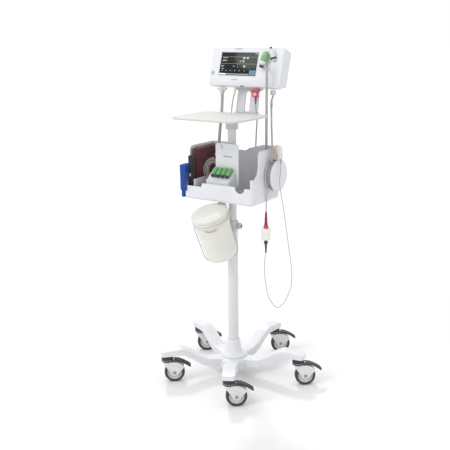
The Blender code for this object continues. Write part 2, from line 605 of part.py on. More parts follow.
def build_finger_clip(mast):
    """Two halves either side of the reel's tab, on a hinge pin between jaws and tails."""
    hinge = empty("finger_clip_axis", mast, CLIP_HINGE)
    left = [(-0.0145, -0.0190), (-0.0022, -0.0200), (-0.0022, -0.0060), (-0.0005, -0.0030), (-0.0005, 0.0275),
            (-0.0060, 0.0275), (-0.0120, 0.0220), (-0.0145, 0.0080)]
    right = [(0.0080, -0.0200), (0.0145, -0.0190), (0.0145, 0.0080), (0.0120, 0.0220), (0.0060, 0.0275),
             (0.0005, 0.0275), (0.0005, -0.0030), (0.0030, -0.0060)]
    ear_room = along(rod(0.0042, -0.0090, 0.0090, 8), (0, 1, 0))
    left_form = softened(extruded(left, -0.008, 0.008, axis="Y"), 0.0015, 1,
                         lambda edge: max(v.co.x for v in edge.verts) < -0.004)
    right_form = softened(extruded(right, -0.008, 0.008, axis="Y"), 0.0015, 1,
                          lambda edge: min(v.co.x for v in edge.verts) > 0.004)
    ears = [along(rod(0.0034, low, high, 8), (0, 1, 0)) for low, high in ((-0.0079, -0.0053), (0.0053, 0.0079))]
    pin = along(rod(0.0014, -0.0080, 0.0080, 8), (0, 1, 0))
    left_mesh = carved(left_form, ("DIFFERENCE", ear_room), ("UNION", ears[0]), ("UNION", ears[1]),
                       ("UNION", block((0.004, 0.0026, 0.006), (-0.0030, -0.0066, 0))),
                       ("UNION", block((0.004, 0.0026, 0.006), (-0.0030, 0.0066, 0))), ("UNION", pin))
    node("finger_clip_bottom", left_mesh, "beige_plastic", hinge)
    ear_room = along(rod(0.0042, -0.0090, 0.0090, 8), (0, 1, 0))
    knuckle = along(rod(0.0034, -0.0050, 0.0050, 8), (0, 1, 0))
    bore = along(rod(0.0018, -0.02, 0.02, 8), (0, 1, 0))
    relief = along(turned([(0, 0), (0.0030, 0), (0.0020, 0.017), (0, 0.017)], 12), (0, 0, -1), (0.0112, 0, -0.0190))
    right_mesh = carved(right_form, ("DIFFERENCE", ear_room), ("UNION", knuckle),
                        ("UNION", block((0.0050, 0.0100, 0.006), (0.0035, 0, 0))), ("DIFFERENCE", bore),
                        ("UNION", relief))
    node("finger_clip_top", right_mesh, "white_plastic", hinge)


# ---- head: bracket, tray, yoke ----
def build_head(mast):
    plate_foot = HEAD_PLATE_TOP - 0.0085
    arm = extruded(rounded_outline(-0.032, 0.032, -0.050, 0.090, 0.008, 3), plate_foot, HEAD_PLATE_TOP)
    rear = extruded(rounded_outline(-0.045, 0.045, 0.080, 0.112, 0.006, 3), plate_foot, HEAD_PLATE_TOP)
    socket = rod(0.022, 0.928, plate_foot + 0.001, 24)
    bore = rod(MAST_OUTER + GAP, 0.90, MAST_TOP + GAP, 28)
    node("pole_head", carved(arm, ("UNION", rear), ("UNION", socket), ("DIFFERENCE", bore)),
         "grey_plastic", mast)
    half_x, half_y = TRAY_SIZE[0] / 2, TRAY_SIZE[1] / 2
    outline = rounded_outline(-half_x, half_x, TRAY_CENTRE[1] - half_y, TRAY_CENTRE[1] + half_y, TRAY_CORNER, 7)
    tray = extruded(outline, TRAY_TOP - TRAY_THICKNESS, TRAY_TOP)
    softened(tray, 0.0015, 1, level)
    node("tray", simple(tray), "tray_plastic", mast)
    build_yoke(mast)


def build_yoke(mast):
    """An arch that leans back from the bracket to the tilt axis, with the tilt barrel and its pins on top."""
    y, z = TILT_AXIS
    foot_y, foot_z = 0.097, HEAD_PLATE_TOP + GAP
    lean = math.atan2(y - foot_y, z - foot_z)
    reach = math.hypot(y - foot_y, z - foot_z)
    half, window = 0.043, 0.0112
    plate = extruded([(-half - 0.002, -0.004), (half + 0.002, -0.004), (half, reach - 0.006),
                      (half - 0.006, reach), (-half + 0.006, reach), (-half, reach - 0.006)], -0.004, 0.004,
                     axis="Y")
    arch = [(window, -0.03), (window, reach - 0.022)]
    for degrees in (30, 60, 90, 120, 150):
        angle = math.radians(degrees)
        arch.append((window * math.cos(angle), reach - 0.022 + window * math.sin(angle)))
    arch += [(-window, reach - 0.022), (-window, -0.03)]
    opening = extruded(arch[::-1], -0.03, 0.03, axis="Y")
    barrel = along(rod(0.0075, -half, half, 16), (1, 0, 0), (0, 0, reach))
    pins = along(rod(0.0040, -0.0540, 0.0540, 12), (1, 0, 0), (0, 0, reach))
    leaning = as_form(carved(plate, ("UNION", barrel), ("DIFFERENCE", opening), ("UNION", pins)))
    placed(leaning, (0, foot_y, foot_z), (-lean, 0, 0))
    below = block((0.2, 0.2, 0.1), (0, foot_y, foot_z - 0.05))
    foot = block((0.088, 0.020, 0.004), (0, foot_y + 0.001, foot_z + 0.002))
    node("yoke", carved(leaning, ("UNION", foot), ("DIFFERENCE", below)), "grey_plastic", mast)


# ---- monitor, built in its own axes: x to the right, y into the housing, z up the face ----
def face_spot(u, v, depth=0.0):
    """A place given from the screen's centre: right, up, and depth behind the face."""
    return Vector(SCREEN_CENTRE) + Vector((u, depth, v))


def face_plate(inset, near, far, corner=FACE_CORNER):
    outline = rounded_outline(FACE_LEFT + inset, FACE_RIGHT - inset, FACE_BOTTOM + inset, FACE_TOP - inset,
                              corner)
    shifted = [(SCREEN_CENTRE[0] + u, SCREEN_CENTRE[2] + v) for u, v in outline]
    return extruded(shifted, SCREEN_CENTRE[1] + near, SCREEN_CENTRE[1] + far, axis="Y")


WHITE_PROBE = (Vector((0.1325, -0.020, 0.0570)), Vector((0.141, -0.008, 0.0267)))   # tip, seat: u, depth, v
GREEN_PROBE = (Vector((0.1170, -0.0145, 0.0400)), Vector((0.1035, -0.0145, -0.0145)))


def screen_frame(spot):
    return Vector(SCREEN_CENTRE) + spot


def build_bezel(head):
    plate = face_plate(0, 0, BEZEL_DEPTH)
    front = SCREEN_CENTRE[1]
    softened(plate, 0.007, 2, lambda edge: max(v.co.y for v in edge.verts) < front + 1e-4)
    pocket = block((THICK_FROM - FACE_LEFT - SHELL, 0.03, FACE_TOP - FACE_BOTTOM - 2 * SHELL - 0.006),
                   face_spot((THICK_FROM + FACE_LEFT + SHELL) / 2, (FACE_TOP + FACE_BOTTOM) / 2,
                             SHELL + 0.015))
    thick_pocket = block((FACE_RIGHT - THICK_FROM - SHELL, 0.03, FACE_TOP - FACE_BOTTOM - 2 * SHELL - 0.006),
                         face_spot((THICK_FROM + FACE_RIGHT - SHELL) / 2, (FACE_TOP + FACE_BOTTOM) / 2,
                                   0.013 + 0.015))
    window = block((SCREEN_SIZE[0] + 0.0010, 0.05, SCREEN_SIZE[1] + 0.0010), face_spot(0, 0))
    button_hole = along(rod(0.0063, -0.02, 0.02, 16), (0, 1, 0), face_spot(-0.103, -0.034))
    tip, seat = WHITE_PROBE
    well_way = (seat - tip).normalized()
    cup = along(rod(0.0090, -0.0080, 0.012, 16), well_way, screen_frame(seat))
    cup_back = block((0.08, 0.03, 0.08), face_spot(0.150, 0.020, 0.0150 + BEZEL_DEPTH * 0.5))
    cup_form = as_form(carved(cup, ("DIFFERENCE", cup_back)))
    well = along(rod(0.0060, -0.030, 0.0180, 14), well_way, screen_frame(seat))
    top, end = GREEN_PROBE
    green_way = (end - top).normalized()
    holder = along(rod(0.0118, 0.0340, 0.0440, 18), green_way, screen_frame(top))
    bridge_spot = top + green_way * 0.039
    bridge = along(block((0.014, 0.014, 0.0092), (0, 0, 0)), green_way,
                   screen_frame(bridge_spot + Vector((0, 0.0090, 0))))
    grip = along(rod(0.0085, 0.020, 0.080, 18), green_way, screen_frame(top))
    scoop = along(turned([(0, -0.10), (0.050, -0.10), (0.040, 0.030), (0, 0.030)], 40), (0, 0, 1),
                  face_spot(0.152, -0.040, -0.0385))
    gland = along(turned([(0, -0.004), (0.0075, -0.004), (0.0075, 0.003), (0.0060, 0.008), (0, 0.008)], 12),
                  (0, -1, 0), face_spot(0.1230, -0.0120))
    steps = [("DIFFERENCE", pocket), ("DIFFERENCE", thick_pocket), ("DIFFERENCE", window),
             ("DIFFERENCE", button_hole), ("DIFFERENCE", scoop), ("UNION", cup_form), ("DIFFERENCE", well),
             ("UNION", bridge), ("UNION", holder), ("DIFFERENCE", grip), ("UNION", gland)]
    node("front_bezel", carved(plate, *steps), "white_plastic", head)


def build_rear_housing(head):
    near, far = BEZEL_DEPTH + GAP, HOUSING_BACK
    plate = face_plate(0.0015, near, far, FACE_CORNER - 0.001)
    back = SCREEN_CENTRE[1] + far
    softened(plate, 0.010, 2, lambda edge: min(v.co.y for v in edge.verts) > back - 1e-4)
    inside = face_plate(0.0015 + SHELL, near - 0.01, far - SHELL, FACE_CORNER - SHELL)
    inner_back = SCREEN_CENTRE[1] + far - SHELL
    softened(inside, 0.007, 1, lambda edge: min(v.co.y for v in edge.verts) > inner_back - 1e-4)
    step_depth, step_height = HOUSING_STEP
    step_top = extruded(rounded_outline(-0.30, 0.30, -0.2, step_height, 0.002), SCREEN_CENTRE[1] + step_depth,
                        SCREEN_CENTRE[1] + 0.2, axis="Y")
    placed(step_top, (0, 0, SCREEN_CENTRE[2]))
    inner_floor = block((0.40, 0.10, 0.06), face_spot(0, step_height + SHELL - 0.03,
                                                      step_depth - SHELL + 0.05))
    hollow = as_form(carved(inside, ("DIFFERENCE", inner_floor)))
    vents = [("DIFFERENCE", block((0.0030, 0.02, 0.030), face_spot(0.060 + 0.008 * k, 0.030, far)))
             for k in range(6)]
    steps = [("DIFFERENCE", step_top), ("DIFFERENCE", hollow)]
    for side in (-1, 1):
        lug = [(-0.0095, 0.014), (-0.0090, -0.002), (-0.0045, -0.0078), (0.0045, -0.0078), (0.0090, -0.002),
               (0.0110, 0.014)]
        form = extruded(lug, side * 0.0503 - 0.0045, side * 0.0503 + 0.0045, axis="X")
        steps.append(("UNION", form))
    steps.append(("DIFFERENCE", along(rod(0.0045, -0.07, 0.07, 12), (1, 0, 0))))
    node("rear_housing", carved(plate, *steps, *vents), "white_plastic", head)


def build_inside(head):
    panel = softened(block((SCREEN_SIZE[0] + 0.0002, 0.0050, SCREEN_SIZE[1] + 0.0002), face_spot(0, 0, 0.0033)),
                     0.0006, 1)
    node("display_panel", simple(panel), "glass", head)
    board = block((0.190, 0.0016, 0.100), face_spot(-0.010, -0.004, 0.0240))
    chips = ((-0.060, 0.010, 0.030, 0.030), (-0.010, 0.020, 0.024, 0.020), (0.040, -0.010, 0.030, 0.040),
             (-0.050, -0.035, 0.040, 0.014))
    raised = [("UNION", block((width, 0.0040, height), face_spot(u, v, 0.0218))) for u, v, width, height in chips]
    node("main_board", carved(board, *raised), "circuit", head)
    battery = softened(block((0.110, 0.016, 0.060), face_spot(0.020, -0.010, 0.0430)), 0.003, 1)
    node("battery_pack", simple(battery), "cell", head)
    cap = turned([(0, -0.0008), (0.0048, -0.0008), (0.0060, 0.0004), (0.0060, 0.0033), (0.0075, 0.0033),
                  (0.0075, 0.0053), (0, 0.0053)], 12)
    spot = empty("power_button_axis", head, face_spot(-0.103, -0.034))
    node("power_button", simple(along(cap, (0, 1, 0))), "grey_plastic", spot)


def build_probes(head):
    tip, seat = WHITE_PROBE
    way = seat - tip
    length = way.length
    handle = [(0, 0), (0.0035, 0.0005), (0.0042, 0.004), (0.0040, 0.007), (0.0056, 0.012), (0.0080, length - 0.014),
              (0.0086, length - 0.0095), (0.0086, length - 0.0083), (0.0057, length - 0.0083),
              (0.0057, length + 0.012), (0.004, length + 0.016), (0, length + 0.016)]
    spot = empty("probe_axis", head, screen_frame(tip))
    node("probe", simple(along(turned(handle, 14), way.normalized())), "white_plastic", spot)
    top, end = GREEN_PROBE
    way = end - top
    length = way.length
    shape = [(0, -0.003), (0.0070, -0.001), (0.0106, 0.006), (0.0116, 0.014), (0.0110, 0.024), (0.0090, 0.0330),
             (0.0081, 0.0336), (0.0078, 0.046), (0.0072, 0.048), (0.0072, length - 0.001), (0.0062, length),
             (0, length)]
    spot = empty("green_probe_axis", head, screen_frame(top))
    node("green_probe", simple(along(turned(shape, 14), way.normalized())), "green_plastic", spot)


# ---- plugs under the monitor, junction box ----
PLUG_TOP = 1.0605


def build_plugs(head):
    """Plugs hang straight down from the bezel's underside: their tops follow the face's slope."""
    upright = empty("plug_frame", head, (0, 0, 0), (TILT_REST, 0, 0))

    def plug(name, paint, x, y, form, *added):
        cutter = block((0.2, 0.2, 0.1), (0, 0, 0.05))
        placed(cutter, (x, y, PLUG_TOP), (-TILT_REST, 0, 0))
        mesh = carved(form, *[("UNION", piece) for piece in added], ("DIFFERENCE", cutter))
        node(name, mesh, paint, upright, (0, -TILT_AXIS[0], -TILT_AXIS[1]))

    x, y = 0.0440, 0.0860
    flange = softened(extruded(rounded_outline(x - 0.0165, x + 0.0165, y - 0.009, y + 0.009, 0.005, 3), 1.050, 1.08),
                      0.001, 1, level)
    body = softened(extruded(rounded_outline(x - 0.0125, x + 0.0125, y - 0.0075, y + 0.0075, 0.004, 3), 1.033, 1.055),
                    0.001, 1, level)
    relief = placed(turned([(0, 1.008), (0.0027, 1.008), (0.0042, 1.036), (0, 1.036)], 10), (x, y, 0))
    plug("spo2_plug", "red_plastic", x, y, flange, body, relief)
    x, y = -0.0970, 0.0860
    collar = placed(turned([(0, 1.036), (0.0062, 1.036), (0.0100, 1.046), (0.0100, 1.08), (0, 1.08)], 20), (x, y, 0))
    wing = softened(block((0.038, 0.012, 0.030), (x, y, 1.066)), 0.002, 1)
    plug("nibp_plug", "hose", x, y, collar, wing)
    x, y = 0.1150, 0.0860
    body = softened(extruded(rounded_outline(x - 0.0095, x + 0.0095, y - 0.007, y + 0.007, 0.003, 3), 1.043, 1.08),
                    0.001, 1, level)
    plug("aux_plug", "grey_plastic", x, y, body)


def build_junction(mast):
    x, y = 0.1460, -0.0110
    shell = extruded(rounded_outline(-0.0165, 0.0165, -0.007, 0.007, 0.004, 2), 0.549, 0.594)
    softened(shell, 0.0015, 1, level)
    collar = turned([(0, 0.5925), (0.0095, 0.5925), (0.0100, 0.600), (0.0070, 0.608), (0.0042, 0.622),
                     (0.0030, 0.651), (0, 0.651)], 10)
    relief = turned([(0, 0.503), (0.0024, 0.503), (0.0045, 0.535), (0.0060, 0.550), (0, 0.550)], 10)
    mesh = carved(shell, ("UNION", collar), ("UNION", relief))
    node("cable_junction", mesh, "beige_plastic", mast, (x, y, 0), (0, 0, math.radians(33.4)))


# ---- cord routes, in metres from the column's axis ----
NIBP_ROUTE = [(-0.0970, 0.0860, 1.0352), (-0.0970, 0.0860, 1.0290), (-0.0960, 0.0820, 1.0000),
              (-0.0945, 0.0760, 0.9700), (-0.0930, 0.0690, 0.9450), (-0.0915, 0.0620, 0.9200),
              (-0.0890, 0.0540, 0.8950), (-0.0865, 0.0460, 0.8680), (-0.0815, 0.0340, 0.8490),
              (-0.0750, 0.0190, 0.8390), (-0.0690, 0.0060, 0.8360), (-0.0670, -0.0010, 0.8300)]
SPO2_ROUTE = [(0.0440, 0.0860, 1.0073), (0.0440, 0.0860, 1.0030), (0.0465, 0.0840, 0.9880),
              (0.0505, 0.0815, 0.9750), (0.0530, 0.0800, 0.9600), (0.0530, 0.0805, 0.9450),
              (0.0500, 0.0830, 0.9200), (0.0450, 0.0880, 0.8900), (0.0405, 0.0935, 0.8620),
              (0.0390, 0.0965, 0.8400), (0.0430, 0.0985, 0.8150), (0.0580, 0.1000, 0.7900),
              (0.0850, 0.1030, 0.7720), (0.1150, 0.1080, 0.7660), (0.1380, 0.1110, 0.7660),
              (0.1530, 0.1080, 0.7680), (0.1592, 0.0990, 0.7705), (0.1592, 0.0878, 0.7720)]
PROBE_ROUTE = [(0.0880, 0.0866, 1.1353), (0.0880, 0.0815, 1.1369), (0.0880, 0.0767, 1.1383),
               (0.0905, 0.0715, 1.1390), (0.0960, 0.0668, 1.1375), (0.1025, 0.0622, 1.1310),
               (0.1053, 0.0590, 1.1200), (0.1060, 0.0580, 1.1050), (0.1053, 0.0590, 1.0850),
               (0.1040, 0.0610, 1.0600), (0.1020, 0.0640, 1.0300), (0.1006, 0.0660, 0.9800),
               (0.0993, 0.0680, 0.9300), (0.0987, 0.0690, 0.8900), (0.0987, 0.0690, 0.8500),
               (0.0985, 0.0690, 0.8000), (0.0975, 0.0670, 0.7500), (0.0950, 0.0600, 0.7170),
               (0.0890, 0.0450, 0.6990), (0.0830, 0.0250, 0.6942), (0.0780, 0.0050, 0.6938)]
DATA_ROUTE = [(-0.0420, 0.0840, 1.0585), (-0.0430, 0.0840, 1.0450), (-0.0465, 0.0835, 1.0300),
              (-0.0500, 0.0820, 1.0120), (-0.0525, 0.0800, 0.9900), (-0.0500, 0.0740, 0.9650),
              (-0.0420, 0.0640, 0.9400), (-0.0310, 0.0500, 0.9150), (-0.0200, 0.0340, 0.8900),
              (-0.0140, 0.0275, 0.8600), (-0.0120, 0.0265, 0.8200), (-0.0120, 0.0275, 0.7700),
              (-0.0120, 0.0330, 0.7250), (-0.0140, 0.0430, 0.7020), (-0.0180, 0.0560, 0.6935),
              (-0.0230, 0.0700, 0.6926)]
AUX_ROUTE = [(0.1150, 0.0860, 1.0421), (0.1150, 0.0860, 1.0385), (0.1120, 0.0862, 1.0320),
             (0.1090, 0.0866, 1.0240), (0.1082, 0.0868, 1.0160), (0.1082, 0.0866, 1.0060),
             (0.1095, 0.0845, 0.9850), (0.1150, 0.0760, 0.9520), (0.1240, 0.0620, 0.9270),
             (0.1345, 0.0460, 0.9060), (0.1440, 0.0310, 0.8880), (0.1530, 0.0170, 0.8720),
             (0.1580, 0.0070, 0.8570), (0.1594, 0.0012, 0.8420), (0.1595, 0.0010, 0.8320),
             (0.1595, 0.0056, 0.8225)]
SENSOR_ROUTE = [(0.1815, 0.0260, 0.8159), (0.1816, 0.0259, 0.8120), (0.1828, 0.0240, 0.8010),
                (0.1835, 0.0185, 0.7800), (0.1850, 0.0135, 0.7550), (0.1885, 0.0137, 0.7288),
                (0.1947, 0.0173, 0.6866), (0.1995, 0.0202, 0.6500), (0.2042, 0.0229, 0.6155),
                (0.2095, 0.0258, 0.5700), (0.2140, 0.0286, 0.5324), (0.2189, 0.0315, 0.4923),
                (0.2235, 0.0340, 0.4500), (0.2253, 0.0351, 0.4110), (0.2225, 0.0335, 0.3750),
                (0.2143, 0.0288, 0.3470), (0.2010, 0.0212, 0.3160), (0.1825, 0.0102, 0.2985),
                (0.1660, 0.0008, 0.3150), (0.1530, -0.0070, 0.3461), (0.1465, -0.0108, 0.3850),
                (0.1429, -0.0129, 0.4211), (0.1415, -0.0138, 0.4600), (0.1430, -0.0128, 0.4830),
                (0.1457, -0.0112, 0.4970), (0.1460, -0.0110, 0.5023)]
PATIENT_ROUTE = [(0.1460, -0.0110, 0.6514), (0.1460, -0.0110, 0.6570), (0.1465, -0.0112, 0.6700),
                 (0.1475, -0.0115, 0.6850), (0.1495, -0.0115, 0.7050), (0.1535, -0.0140, 0.7200),
                 (0.1575, -0.0165, 0.7310), (0.1590, -0.0140, 0.7352), (0.1590, -0.0090, 0.7392)]


def build_cords(mast):
    cord("nibp_hose", NIBP_ROUTE, 0.0110, "hose", mast, 0.018)
    cord("spo2_cable", SPO2_ROUTE, 0.0050, "hose", mast, 0.016)
    cord("probe_cord", PROBE_ROUTE, 0.0090, "hose", mast, 0.014,
         lambda to_end, from_start: 1.5 if to_end < 0.030 else 1.0)
    cord("data_cable", DATA_ROUTE, 0.0045, "hose", mast, 0.016,
         lambda to_end, from_start: 2.6 if to_end < 0.030 else (2.6 if from_start < 0.018 else 1.0))
    cord("aux_cable", AUX_ROUTE, 0.0070, "hose", mast, 0.016,
         lambda to_end, from_start: 0.45 if from_start < 0.020 else 1.0)
    cord("sensor_cable", SENSOR_ROUTE, 0.0034, "white_cable", mast, 0.015)
    cord("patient_cable", PATIENT_ROUTE, 0.0048, "white_cable", mast, 0.010)


# ---- bin ----
def build_bin(mast):
    lean = empty("bin_frame", mast, BIN_FOOT, (BIN_LEAN, 0, BIN_TURN))
    foot, top = BIN_FOOT_RADIUS, BIN_TOP_RADIUS
    outside = [(0, 0), (foot - 0.014, 0), (foot - 0.0065, 0.0022), (foot - 0.0015, 0.0075), (foot, 0.014),
               (top, BIN_HEIGHT)]
    inside = [(top - BIN_WALL, BIN_HEIGHT), (foot - BIN_WALL, 0.015), (foot - 0.010, 0.0055),
              (foot - 0.016, 0.003), (0, 0.003)]
    node("bin_body", simple(turned(outside + inside, 24)), "white_plastic", lean)
    hinge = empty("bin_lid_axis", lean, (0, *LID_HINGE))
    low = BIN_HEIGHT + 0.0006
    lid = turned([(0, low + 0.0115), (0.052, low + 0.0085), (LID_RADIUS - 0.0025, low + 0.0040),
                  (LID_RADIUS - 0.0025, low), (LID_RADIUS, low), (LID_RADIUS, low + 0.0045),
                  (LID_RADIUS - 0.002, low + 0.0080), (0.054, low + 0.0115), (0.040, low + 0.0140),
                  (0, low + 0.0150)], 24)
    hinge_y, hinge_z = LID_HINGE
    ear = block((0.022, 0.012, 0.006), (0, hinge_y - 0.005, low + 0.003))
    knuckle = along(rod(0.0042, -0.0110, 0.0110, 12), (1, 0, 0), (0, hinge_y, hinge_z))
    pin_hole = along(rod(0.0028, -0.03, 0.03, 10), (1, 0, 0), (0, hinge_y, hinge_z))
    lid_mesh = as_form(carved(lid, ("UNION", ear), ("UNION", knuckle), ("DIFFERENCE", pin_hole)))
    placed(lid_mesh, (0, -hinge_y, -hinge_z))
    node("bin_lid", simple(lid_mesh), "white_plastic", hinge)
    build_cradle(mast)


def bin_spot(x, y, z):
    """A place given in the leaning bin's own axes."""
    turn = Matrix.Rotation(BIN_TURN, 3, "Z") @ Matrix.Rotation(BIN_LEAN, 3, "X")
    return Vector(BIN_FOOT) + turn @ Vector((x, y, z))


def build_cradle(mast):
    """A wire ring round the bin, a loop under its foot, two hangers to the basket, and the lid's hinge pin."""
    turns = [2 * math.pi * k / 24 for k in range(24)]
    ring = wire_form([bin_spot(RING_RADIUS * math.cos(a), RING_RADIUS * math.sin(a), RING_HEIGHT) for a in turns],
                     WIRE_RADIUS, closed=True)
    left_half = ((-RING_RADIUS - 0.0005, 0, RING_HEIGHT), (-0.0650, 0, 0.100), (-0.0630, 0, 0.050),
                 (-0.0605, -0.002, 0.012), (-0.0500, -0.006, -0.0055), (-0.0250, -0.012, -0.0060))
    right_half = [(-x, y, z) for x, y, z in reversed(left_half)]
    facing = Matrix.Rotation(LOOP_TURN, 3, "Z")
    half_way = (0, -0.014, -0.0060)
    spots = [facing @ Vector(spot) for spot in (*left_half, half_way, *right_half)]
    loop = wire_form([bin_spot(*spot) for spot in spots], WIRE_RADIUS)
    steps = [("UNION", loop)]
    for side in (-1, 1):
        reach = 0.0255 * side
        start = bin_spot(reach, math.sqrt(RING_RADIUS ** 2 - reach ** 2), RING_HEIGHT)
        end = Vector((start.x, -0.0560, BASKET_FLOOR - 0.003))
        low = Vector((end.x, end.y, start.z + 0.008))
        steps.append(("UNION", wire_form([start, start.lerp(low, 0.6) + Vector((0, 0.001, 0)), low,
                                          (low + end) / 2, end], WIRE_RADIUS, spacing=0.012)))
        pad = placed(rod(0.0075, -0.0048, 0, 12), (end.x, end.y, BASKET_FLOOR - GAP))
        steps.append(("UNION", pad))
    hinge = bin_spot(0, *LID_HINGE)
    pin = along(rod(0.0022, -0.0170, 0.0170, 8), bin_spot(1, *LID_HINGE) - hinge, hinge)
    steps.append(("UNION", pin))
    for side in (-1, 1):
        post = block((0.0050, 0.0074, 0.0262), (0.0152 * side, 0.0683, LID_HINGE[1] - 0.0093))
        placed(post, BIN_FOOT, (BIN_LEAN, 0, BIN_TURN))
        steps.append(("UNION", post))
    node("bin_cradle", carved(ring, *steps), "steel", mast)


def build_mast(stand):
    mast = empty("mast_slide", stand, (0, 0, 0))
    tube = sleeve(MAST_BORE, MAST_OUTER, MAST_FOOT, MAST_TOP)
    node("upper_pole", simple(tube), "column_paint", mast)
    build_basket(mast)
    build_rack(mast)
    build_cuffs(mast)
    build_reel(mast)
    build_finger_clip(mast)
    build_head(mast)
    build_bin(mast)
    build_junction(mast)
    build_cords(mast)
    return mast


def build_monitor(mast):
    head = empty("monitor_tilt", mast, (0, *TILT_AXIS), (-TILT_REST, 0, 0))
    build_bezel(head)
    build_rear_housing(head)
    build_inside(head)
    build_probes(head)
    build_plugs(head)


def main():
    clear_scene()
    stand = empty("stand", None, (*COLUMN, 0))
    build_base(stand)
    build_casters(stand)
    mast = build_mast(stand)
    build_monitor(mast)


main()
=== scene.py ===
"""The patient monitor on its roll stand: finer shells, soft pieces, cords and materials on the CAD frame."""
import json
import math

import bmesh
import bpy
from mathutils import Matrix, Vector


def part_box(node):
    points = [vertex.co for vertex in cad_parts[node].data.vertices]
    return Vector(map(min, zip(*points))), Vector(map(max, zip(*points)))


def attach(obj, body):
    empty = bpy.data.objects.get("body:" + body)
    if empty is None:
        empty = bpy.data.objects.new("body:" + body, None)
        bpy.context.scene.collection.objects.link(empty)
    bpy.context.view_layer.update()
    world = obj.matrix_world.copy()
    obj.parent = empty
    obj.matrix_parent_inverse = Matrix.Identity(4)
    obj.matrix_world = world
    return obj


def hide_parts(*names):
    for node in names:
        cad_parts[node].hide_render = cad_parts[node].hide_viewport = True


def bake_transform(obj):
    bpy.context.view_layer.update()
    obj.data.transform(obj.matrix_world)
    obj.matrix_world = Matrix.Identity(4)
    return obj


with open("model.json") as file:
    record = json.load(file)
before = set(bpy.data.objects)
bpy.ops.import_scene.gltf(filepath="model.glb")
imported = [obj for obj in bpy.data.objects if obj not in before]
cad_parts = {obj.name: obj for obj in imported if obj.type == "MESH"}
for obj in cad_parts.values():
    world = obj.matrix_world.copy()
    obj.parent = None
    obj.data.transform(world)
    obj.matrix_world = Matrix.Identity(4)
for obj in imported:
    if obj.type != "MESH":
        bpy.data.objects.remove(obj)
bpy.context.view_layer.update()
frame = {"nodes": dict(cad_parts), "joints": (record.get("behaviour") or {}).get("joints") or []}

HERE = Matrix.Identity(4)
ALONG_X = Matrix.Rotation(math.pi / 2, 4, "Y")   # lays a form made on Z along X

# ---- places taken from the frame ----
pole_low, pole_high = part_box("lower_pole")
COLUMN = Vector(((pole_low.x + pole_high.x) / 2, (pole_low.y + pole_high.y) / 2, 0))
COLUMN_AXIS = Matrix.Translation(COLUMN)
JOINTS = {joint["name"]: joint for joint in frame["joints"]}
TILT_REST = math.radians(17.4)
TILT = Vector(JOINTS["monitor_tilt"]["pos_m"])
MONITOR = Matrix.Translation(TILT) @ Matrix.Rotation(-TILT_REST, 4, "X")
SCREEN = Vector((-0.035, -0.0399, 0.0755))       # the screen's centre in the monitor's own axes
SCREEN_SIZE = (0.153, 0.082)
HOUSING_DEPTH = 0.058                            # from the screen's plane to the housing's back
PLUG_Y = 0.086                                   # the row of plugs under the monitor, behind the column's axis
BIN_FOOT = (0.0038, -0.0745, 0.4871)             # from the column's axis
BIN_TURN, BIN_LEAN = math.radians(-11.0), math.radians(20.4)
BIN_HEIGHT = 0.1704
LID_BACK = 0.069                                 # the lid's hinge behind the bin's axis
RING_RADIUS = 0.065                              # the cradle's ring
BIN = (Matrix.Translation(COLUMN + Vector(BIN_FOOT)) @ Matrix.Rotation(BIN_TURN, 4, "Z")
       @ Matrix.Rotation(BIN_LEAN, 4, "X"))
LID_HINGE = Matrix.Translation((0, LID_BACK, BIN_HEIGHT + 0.003)) @ ALONG_X
REEL_CENTRE = (0, 0.033, 0.775)                  # from the column's axis
TURNED_OUT = math.radians(33.4)                  # how far the tube coil and the junction box face right


def mm(*spots):
    """Places or sizes given in millimetres, as tuples in metres."""
    return [tuple(value / 1000 for value in spot) for spot in spots]


def at(x, y, z):
    """A place given from the column's axis, as in the CAD source."""
    return COLUMN + Vector((x, y, z))


# ---- camera ----
CAMERA_PLACE = (1.4337, -2.176, 1.2779)          # from the column's axis
CAMERA_ANGLES = (33.38, 14.96, -0.607, -0.616)   # degrees: round the column, down, then yaw and roll
LENS, SENSOR = 59.9, 36


def make_camera():
    """Where the photograph was taken from: 33 degrees to the right of the monitor's face and 15 above it."""
    azimuth, pitch, yaw, roll = (math.radians(degrees) for degrees in CAMERA_ANGLES)
    forward = Vector((math.sin(yaw) * math.cos(pitch), math.cos(yaw) * math.cos(pitch), -math.sin(pitch)))
    level_right = forward.cross(Vector((0, 0, 1))).normalized()
    level_up = level_right.cross(forward)
    right = level_right * math.cos(roll) + level_up * math.sin(roll)
    up = level_up * math.cos(roll) - level_right * math.sin(roll)
    turn = Matrix.Rotation(azimuth, 3, "Z")
    axes = Matrix((turn @ right, turn @ up, -(turn @ forward))).transposed()
    camera = bpy.data.objects.new("camera", bpy.data.cameras.new("camera"))
    bpy.context.scene.collection.objects.link(camera)
    camera.matrix_world = Matrix.Translation(at(*CAMERA_PLACE)) @ axes.to_4x4()
    camera.data.lens = LENS
    camera.data.sensor_width = SENSOR
    bpy.context.scene.camera = camera


make_camera()


# ---- materials ----
WAVE_UNIT = 0.314                # the wavelength, in metres, of a wave texture whose scale is 1
THREAD_WIDTH = 0.0009
PIXEL_ROW = 0.0006


def graph(name):
    """A new material with its node tree, its shader and the object coordinates."""
    made = bpy.data.materials.new(name)
    made.use_nodes = True
    tree = made.node_tree
    where = tree.nodes.new("ShaderNodeTexCoord").outputs["Object"]
    return made, tree, tree.nodes["Principled BSDF"], where


def linked(tree, kind, values=(), links=()):
    """A node with its inputs set, and joined to the sockets given."""
    made = tree.nodes.new(kind)
    for key, value in dict(values).items():
        made.inputs[key].default_value = value
    for key, source in dict(links).items():
        tree.links.new(source, made.inputs[key])
    return made


def noise(tree, where, scale, detail=2.0, roughness=0.5):
    made = linked(tree, "ShaderNodeTexNoise", {"Scale": scale, "Detail": detail, "Roughness": roughness},
                  {"Vector": where})
    return made.outputs["Fac"]


